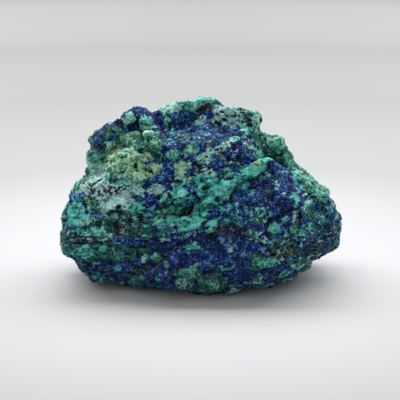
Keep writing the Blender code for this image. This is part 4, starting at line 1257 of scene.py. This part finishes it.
def grain_tree():
    """Scatters copies of a grain over a mesh where its attribute "growth" says."""
    tree = bpy.data.node_groups.new("grains", "GeometryNodeTree")
    sockets = {"Geometry": "Geometry", "Grain": "Object", "Per Square Metre": "Float", "Smallest": "Float",
               "Largest": "Float", "Lean": "Float", "Sink": "Float", "Seed": "Int", "Finish": "Material"}
    for name, kind in sockets.items():
        tree.interface.new_socket(name, in_out="INPUT", socket_type="NodeSocket" + kind)
    tree.interface.new_socket("Geometry", in_out="OUTPUT", socket_type="NodeSocketGeometry")
    given = tree.nodes.new("NodeGroupInput").outputs

    def add(kind, *inputs, **settings):
        return add_node(tree, kind, *inputs, **settings)

    def sum_of(operation, a, b):
        return add("ShaderNodeMath", (0, a), (1, b), operation=operation).outputs[0]

    def random(low, high, seed):
        return add("FunctionNodeRandomValue", (2, low), (3, high), ("Seed", seed),
                   data_type="FLOAT").outputs[1]

    growth = add("GeometryNodeInputNamedAttribute", ("Name", "growth"),
                 data_type="FLOAT").outputs["Attribute"]
    spots = add("GeometryNodeDistributePointsOnFaces", ("Mesh", given["Geometry"]),
                ("Density", sum_of("MULTIPLY", growth, given["Per Square Metre"])), ("Seed", given["Seed"]),
                distribute_method="RANDOM").outputs
    lean = given["Lean"]
    lean_back = sum_of("MULTIPLY", lean, -1.0)
    tips = []
    for low, high in ((lean_back, lean), (lean_back, lean), (-math.pi, math.pi)):
        tips.append(random(low, high, sum_of("ADD", given["Seed"], 3.0 + len(tips))))
    euler = add("ShaderNodeCombineXYZ", *enumerate(tips)).outputs[0]
    turn = add("FunctionNodeEulerToRotation", (0, euler)).outputs[0]
    turned = add("FunctionNodeRotateRotation", ("Rotation", spots["Rotation"]), ("Rotate By", turn),
                 rotation_space="LOCAL").outputs[0]
    size = random(given["Smallest"], given["Largest"], given["Seed"])
    sink = sum_of("MULTIPLY", size, given["Sink"])
    sunk = add("ShaderNodeVectorMath", (0, spots["Normal"]), ("Scale", sink), operation="SCALE").outputs[0]
    settled = add("ShaderNodeVectorMath", (0, sunk), (1, (-1.0, -1.0, -1.0)), operation="MULTIPLY").outputs[0]
    placed = add("GeometryNodeSetPosition", ("Geometry", spots["Points"]), ("Offset", settled)).outputs[0]
    grain = add("GeometryNodeObjectInfo", ("Object", given["Grain"])).outputs["Geometry"]
    grown = add("GeometryNodeInstanceOnPoints", ("Points", placed), ("Instance", grain), ("Rotation", turned),
                ("Scale", size)).outputs[0]
    toned = add("GeometryNodeStoreNamedAttribute", ("Geometry", grown), ("Name", "tone"),
                ("Value", random(0.0, 1.0, TONE_SEED)), data_type="FLOAT", domain="INSTANCE").outputs[0]
    real = add("GeometryNodeRealizeInstances", ("Geometry", toned)).outputs[0]
    done = add("GeometryNodeSetMaterial", ("Geometry", real), ("Material", given["Finish"])).outputs[0]
    add("NodeGroupOutput", ("Geometry", done))
    return tree


def grow_grains(skin, finish):
    """The grains on the skin, each kind a piece."""
    tree = grain_tree()
    ids = {item.name: item.identifier for item in tree.interface.items_tree if item.in_out == "INPUT"}
    clear = smoothstep(*BARE_BAND, skin.points[:, 2])
    for seed, (name, minerals, form, density, smallest, largest, lean) in enumerate(GRAINS):
        seedling = new_object(form, GRAIN_FORMS[form]())
        grains = new_object(name, skin.mesh.copy())
        store(grains.data, "growth", sum(skin.of(mineral) for mineral in minerals) * clear)
        grow = grains.modifiers.new("grow", "NODES")
        grow.node_group = tree
        given = {"Grain": seedling, "Per Square Metre": density / MM ** 2, "Smallest": smallest * MM,
                 "Largest": largest * MM, "Lean": math.radians(lean), "Sink": GRAIN_SINK, "Seed": seed,
                 "Finish": finish}
        for label, value in given.items():
            grow[ids[label]] = value
        take_up_modifiers(grains)
        bpy.data.objects.remove(seedling)
        map_grains(grains.data)
        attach(grains, BODY)


class Nodes:
    """Short ways to add nodes to a material's tree."""

    def __init__(self, name):
        self.material = bpy.data.materials.new(name)
        self.material.use_nodes = True
        self.tree = self.material.node_tree
        self.own_place = self.add("ShaderNodeTexCoord").outputs["Object"]

    def add(self, kind, *inputs, **settings):
        """A node with its settings and its inputs."""
        return add_node(self.tree, kind, *inputs, **settings)

    def finish(self, *inputs):
        """The material, with what its surface is given."""
        feed(self.tree, self.tree.nodes["Principled BSDF"], inputs)
        return self.material

    def maths(self, operation, a, b):
        """One sum."""
        return self.add("ShaderNodeMath", (0, a), (1, b), operation=operation).outputs[0]

    def noise(self, place, width, detail=2.0, roughness=0.6):
        """Noise from 0 to 1 whose clouds are about this wide, in the units of the place."""
        return self.add("ShaderNodeTexNoise", ("Vector", place), ("Scale", 1 / width), ("Detail", detail),
                        ("Roughness", roughness)).outputs[0]

    def spread(self, value, low, high, to_low=0.0, to_high=1.0, curve="SMOOTHSTEP"):
        """The value's stretch from low to high, as 0 to 1 or between other ends."""
        ends = enumerate((value, low, high, to_low, to_high))
        return self.add("ShaderNodeMapRange", *ends, interpolation_type=curve).outputs[0]

    def ramp(self, value, *stops):
        """Colours along a value: (place, (red, green, blue)) each."""
        node = self.add("ShaderNodeValToRGB", (0, value))
        elements = node.color_ramp.elements
        while len(elements) < len(stops):
            elements.new(1.0)
        for element, (place, colour) in zip(elements, stops):
            element.position = place
            element.color = (*colour, 1.0)
        return node.outputs[0]

    def mix(self, share, a, b):
        """Colour b over colour a."""
        return self.add("ShaderNodeMix", (0, share), (6, a), (7, b), data_type="RGBA").outputs[2]

    def attribute(self, name):
        """A number that the mesh keeps at its points."""
        return self.add("ShaderNodeAttribute", attribute_name=name).outputs["Fac"]


class OreNodes(Nodes):
    """The nodes of the rock's finish."""

    def __init__(self):
        super().__init__("azurite_ore")
        self.place = self.add("ShaderNodeVectorMath", (0, self.own_place), ("Scale", 1 / MM),
                              operation="SCALE").outputs[0]
        self.beds = self.add("ShaderNodeMapping", ("Vector", self.place), ("Rotation", (0.0, BED_TILT, 0.0)),
                             ("Scale", STREAKS)).outputs[0]
        crystals = self.add("ShaderNodeTexVoronoi", ("Vector", self.place), ("Scale", 1 / CRYSTAL_WIDTH))
        self.crystal_tone = self.maths("MULTIPLY", crystals.outputs["Color"], CRYSTAL_TONE)
        # Painted highlight on what stands proud, and painted shade in hollows.
        proud = self.maths("MULTIPLY", self.attribute("hollow"), RELIEF_SHADE_AND_HIGHLIGHT)
        grain = self.swing(self.attribute("tone"), MEAN_TONE, GRAIN_TONE)
        drift = self.swing(self.noise(self.place, DRIFT_WIDTH), DRIFT_MEAN, DRIFT_TONE)
        self.shift = self.maths("ADD", self.maths("ADD", proud, grain), drift)

    def swing(self, value, mean, share):
        """A share of how far a value lies from its mean."""
        return self.maths("MULTIPLY", self.maths("SUBTRACT", value, mean), share)

    def colour(self, mineral):
        """A mineral's colour, with a painted highlight on what stands proud and painted shade in hollows."""
        (width, detail, roughness, streaked), *stops = TONES[mineral]
        clouds = self.noise(self.beds if streaked else self.place, width, detail, roughness)
        tone = self.maths("ADD", self.maths("MULTIPLY", clouds, NOISE_TONE), self.crystal_tone)
        colour = self.ramp(self.maths("ADD", tone, self.shift), *stops)
        if mineral == "azurite":
            glint = self.spread(self.noise(self.place, *GLINT_GRAIN), *GLINT_BAND)
            colour = self.mix(self.maths("MULTIPLY", glint, GLINT_SHARE), colour, GLINT_COLOUR)
        return colour


def ore_material():
    """The skin's finish: every mineral's own colour, with ragged edges between them, and painted shade in the
    hollows and towards the foot.
    """
    nodes = OreNodes()
    first, *others = TONES
    colour = nodes.colour(first)
    for number, mineral in enumerate(others, 1):
        ragged = nodes.noise(nodes.place, RAGGED_WIDTH + RAGGED_STEP * number, *RAGGED_GRAIN)
        held = nodes.maths("ADD", nodes.attribute(mineral), nodes.maths("SUBTRACT", ragged, RAGGED_MEAN))
        colour = nodes.mix(nodes.spread(held, *RAGGED_BAND), colour, nodes.colour(mineral))
    # Painted shade: the colour darkens towards near-black in the hollows of the skin.
    deep = nodes.spread(nodes.attribute("hollow"), *HOLLOW_SHADE_BAND)
    colour = nodes.mix(nodes.maths("MULTIPLY", deep, HOLLOW_SHADE_SHARE), colour, PAINTED_SHADE)
    # Painted shade: the colour is darker towards the bottom of the rock.
    height = nodes.add("ShaderNodeSeparateXYZ", (0, nodes.place)).outputs["Z"]
    low = nodes.spread(height, *FOOT_SHADE_BAND, FOOT_SHADE, 0.0, curve="LINEAR")
    bump = nodes.add("ShaderNodeBump", ("Strength", BUMP_STRENGTH), ("Distance", BUMP_HEIGHT),
                     ("Height", nodes.noise(nodes.place, *BUMP_GRAIN))).outputs[0]
    return nodes.finish(("Base Color", nodes.mix(low, colour, PAINTED_SHADE)), ("Roughness", ROUGHNESS),
                        ("Specular IOR Level", SHEEN), ("Normal", bump))


def rock_skin():
    """The rock's skin, in place of its solid, and the grains on it."""
    skin_object = fine_skin()
    skin = Skin(skin_object.data)
    lay_minerals(skin)
    raise_relief(skin)
    store_minerals(skin)
    finish = ore_material()
    skin_object.data.materials.clear()
    skin_object.data.materials.append(finish)
    grow_grains(skin, finish)
    map_skin(skin)
    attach(skin_object, BODY)
    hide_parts(NODE)


def studio():
    """The camera, the lamps and the pale floor with painted light on it."""
    camera = new_object("camera", bpy.data.cameras.new("camera"))
    camera.data.lens = LENS_MM
    camera.data.sensor_width = SENSOR_MM
    camera.data.clip_start = NEAR_CLIP
    camera.location = EYE
    camera.rotation_euler = (-BACK).to_track_quat("-Z", "Y").to_euler()
    bpy.context.scene.camera = camera

    for name, (place, length, width, watts) in LAMPS.items():
        lamp = new_object(name, bpy.data.lights.new(name, "AREA"))
        lamp.data.shape = "RECTANGLE"
        lamp.data.size = length
        lamp.data.size_y = width
        lamp.data.energy = watts
        lamp.location = place
        lamp.rotation_euler = (LAMP_AIM - place).to_track_quat("-Z", "Y").to_euler()

    world = bpy.data.worlds.new("studio")
    world.use_nodes = True
    glow = world.node_tree.nodes["Background"].inputs
    glow["Color"].default_value = ROOM_TINT
    glow["Strength"].default_value = ROOM_LIGHT
    bpy.context.scene.world = world
    bpy.context.scene.view_settings.view_transform = "Standard"

    bpy.ops.mesh.primitive_plane_add(size=FLOOR_SIZE)
    floor = bpy.context.object
    floor.name = "floor"
    nodes = Nodes("pale_floor")
    # The floor's painted light: its grey by the distance from its middle.
    away = nodes.add("ShaderNodeVectorMath", (0, nodes.own_place), operation="LENGTH").outputs["Value"]
    finish = nodes.finish(("Base Color", nodes.ramp(away, *FLOOR_PAINTED_LIGHT)), ("Roughness", FLOOR_ROUGHNESS),
                          ("Specular IOR Level", FLOOR_SHEEN))
    floor.data.materials.append(finish)


studio()
rock_skin()
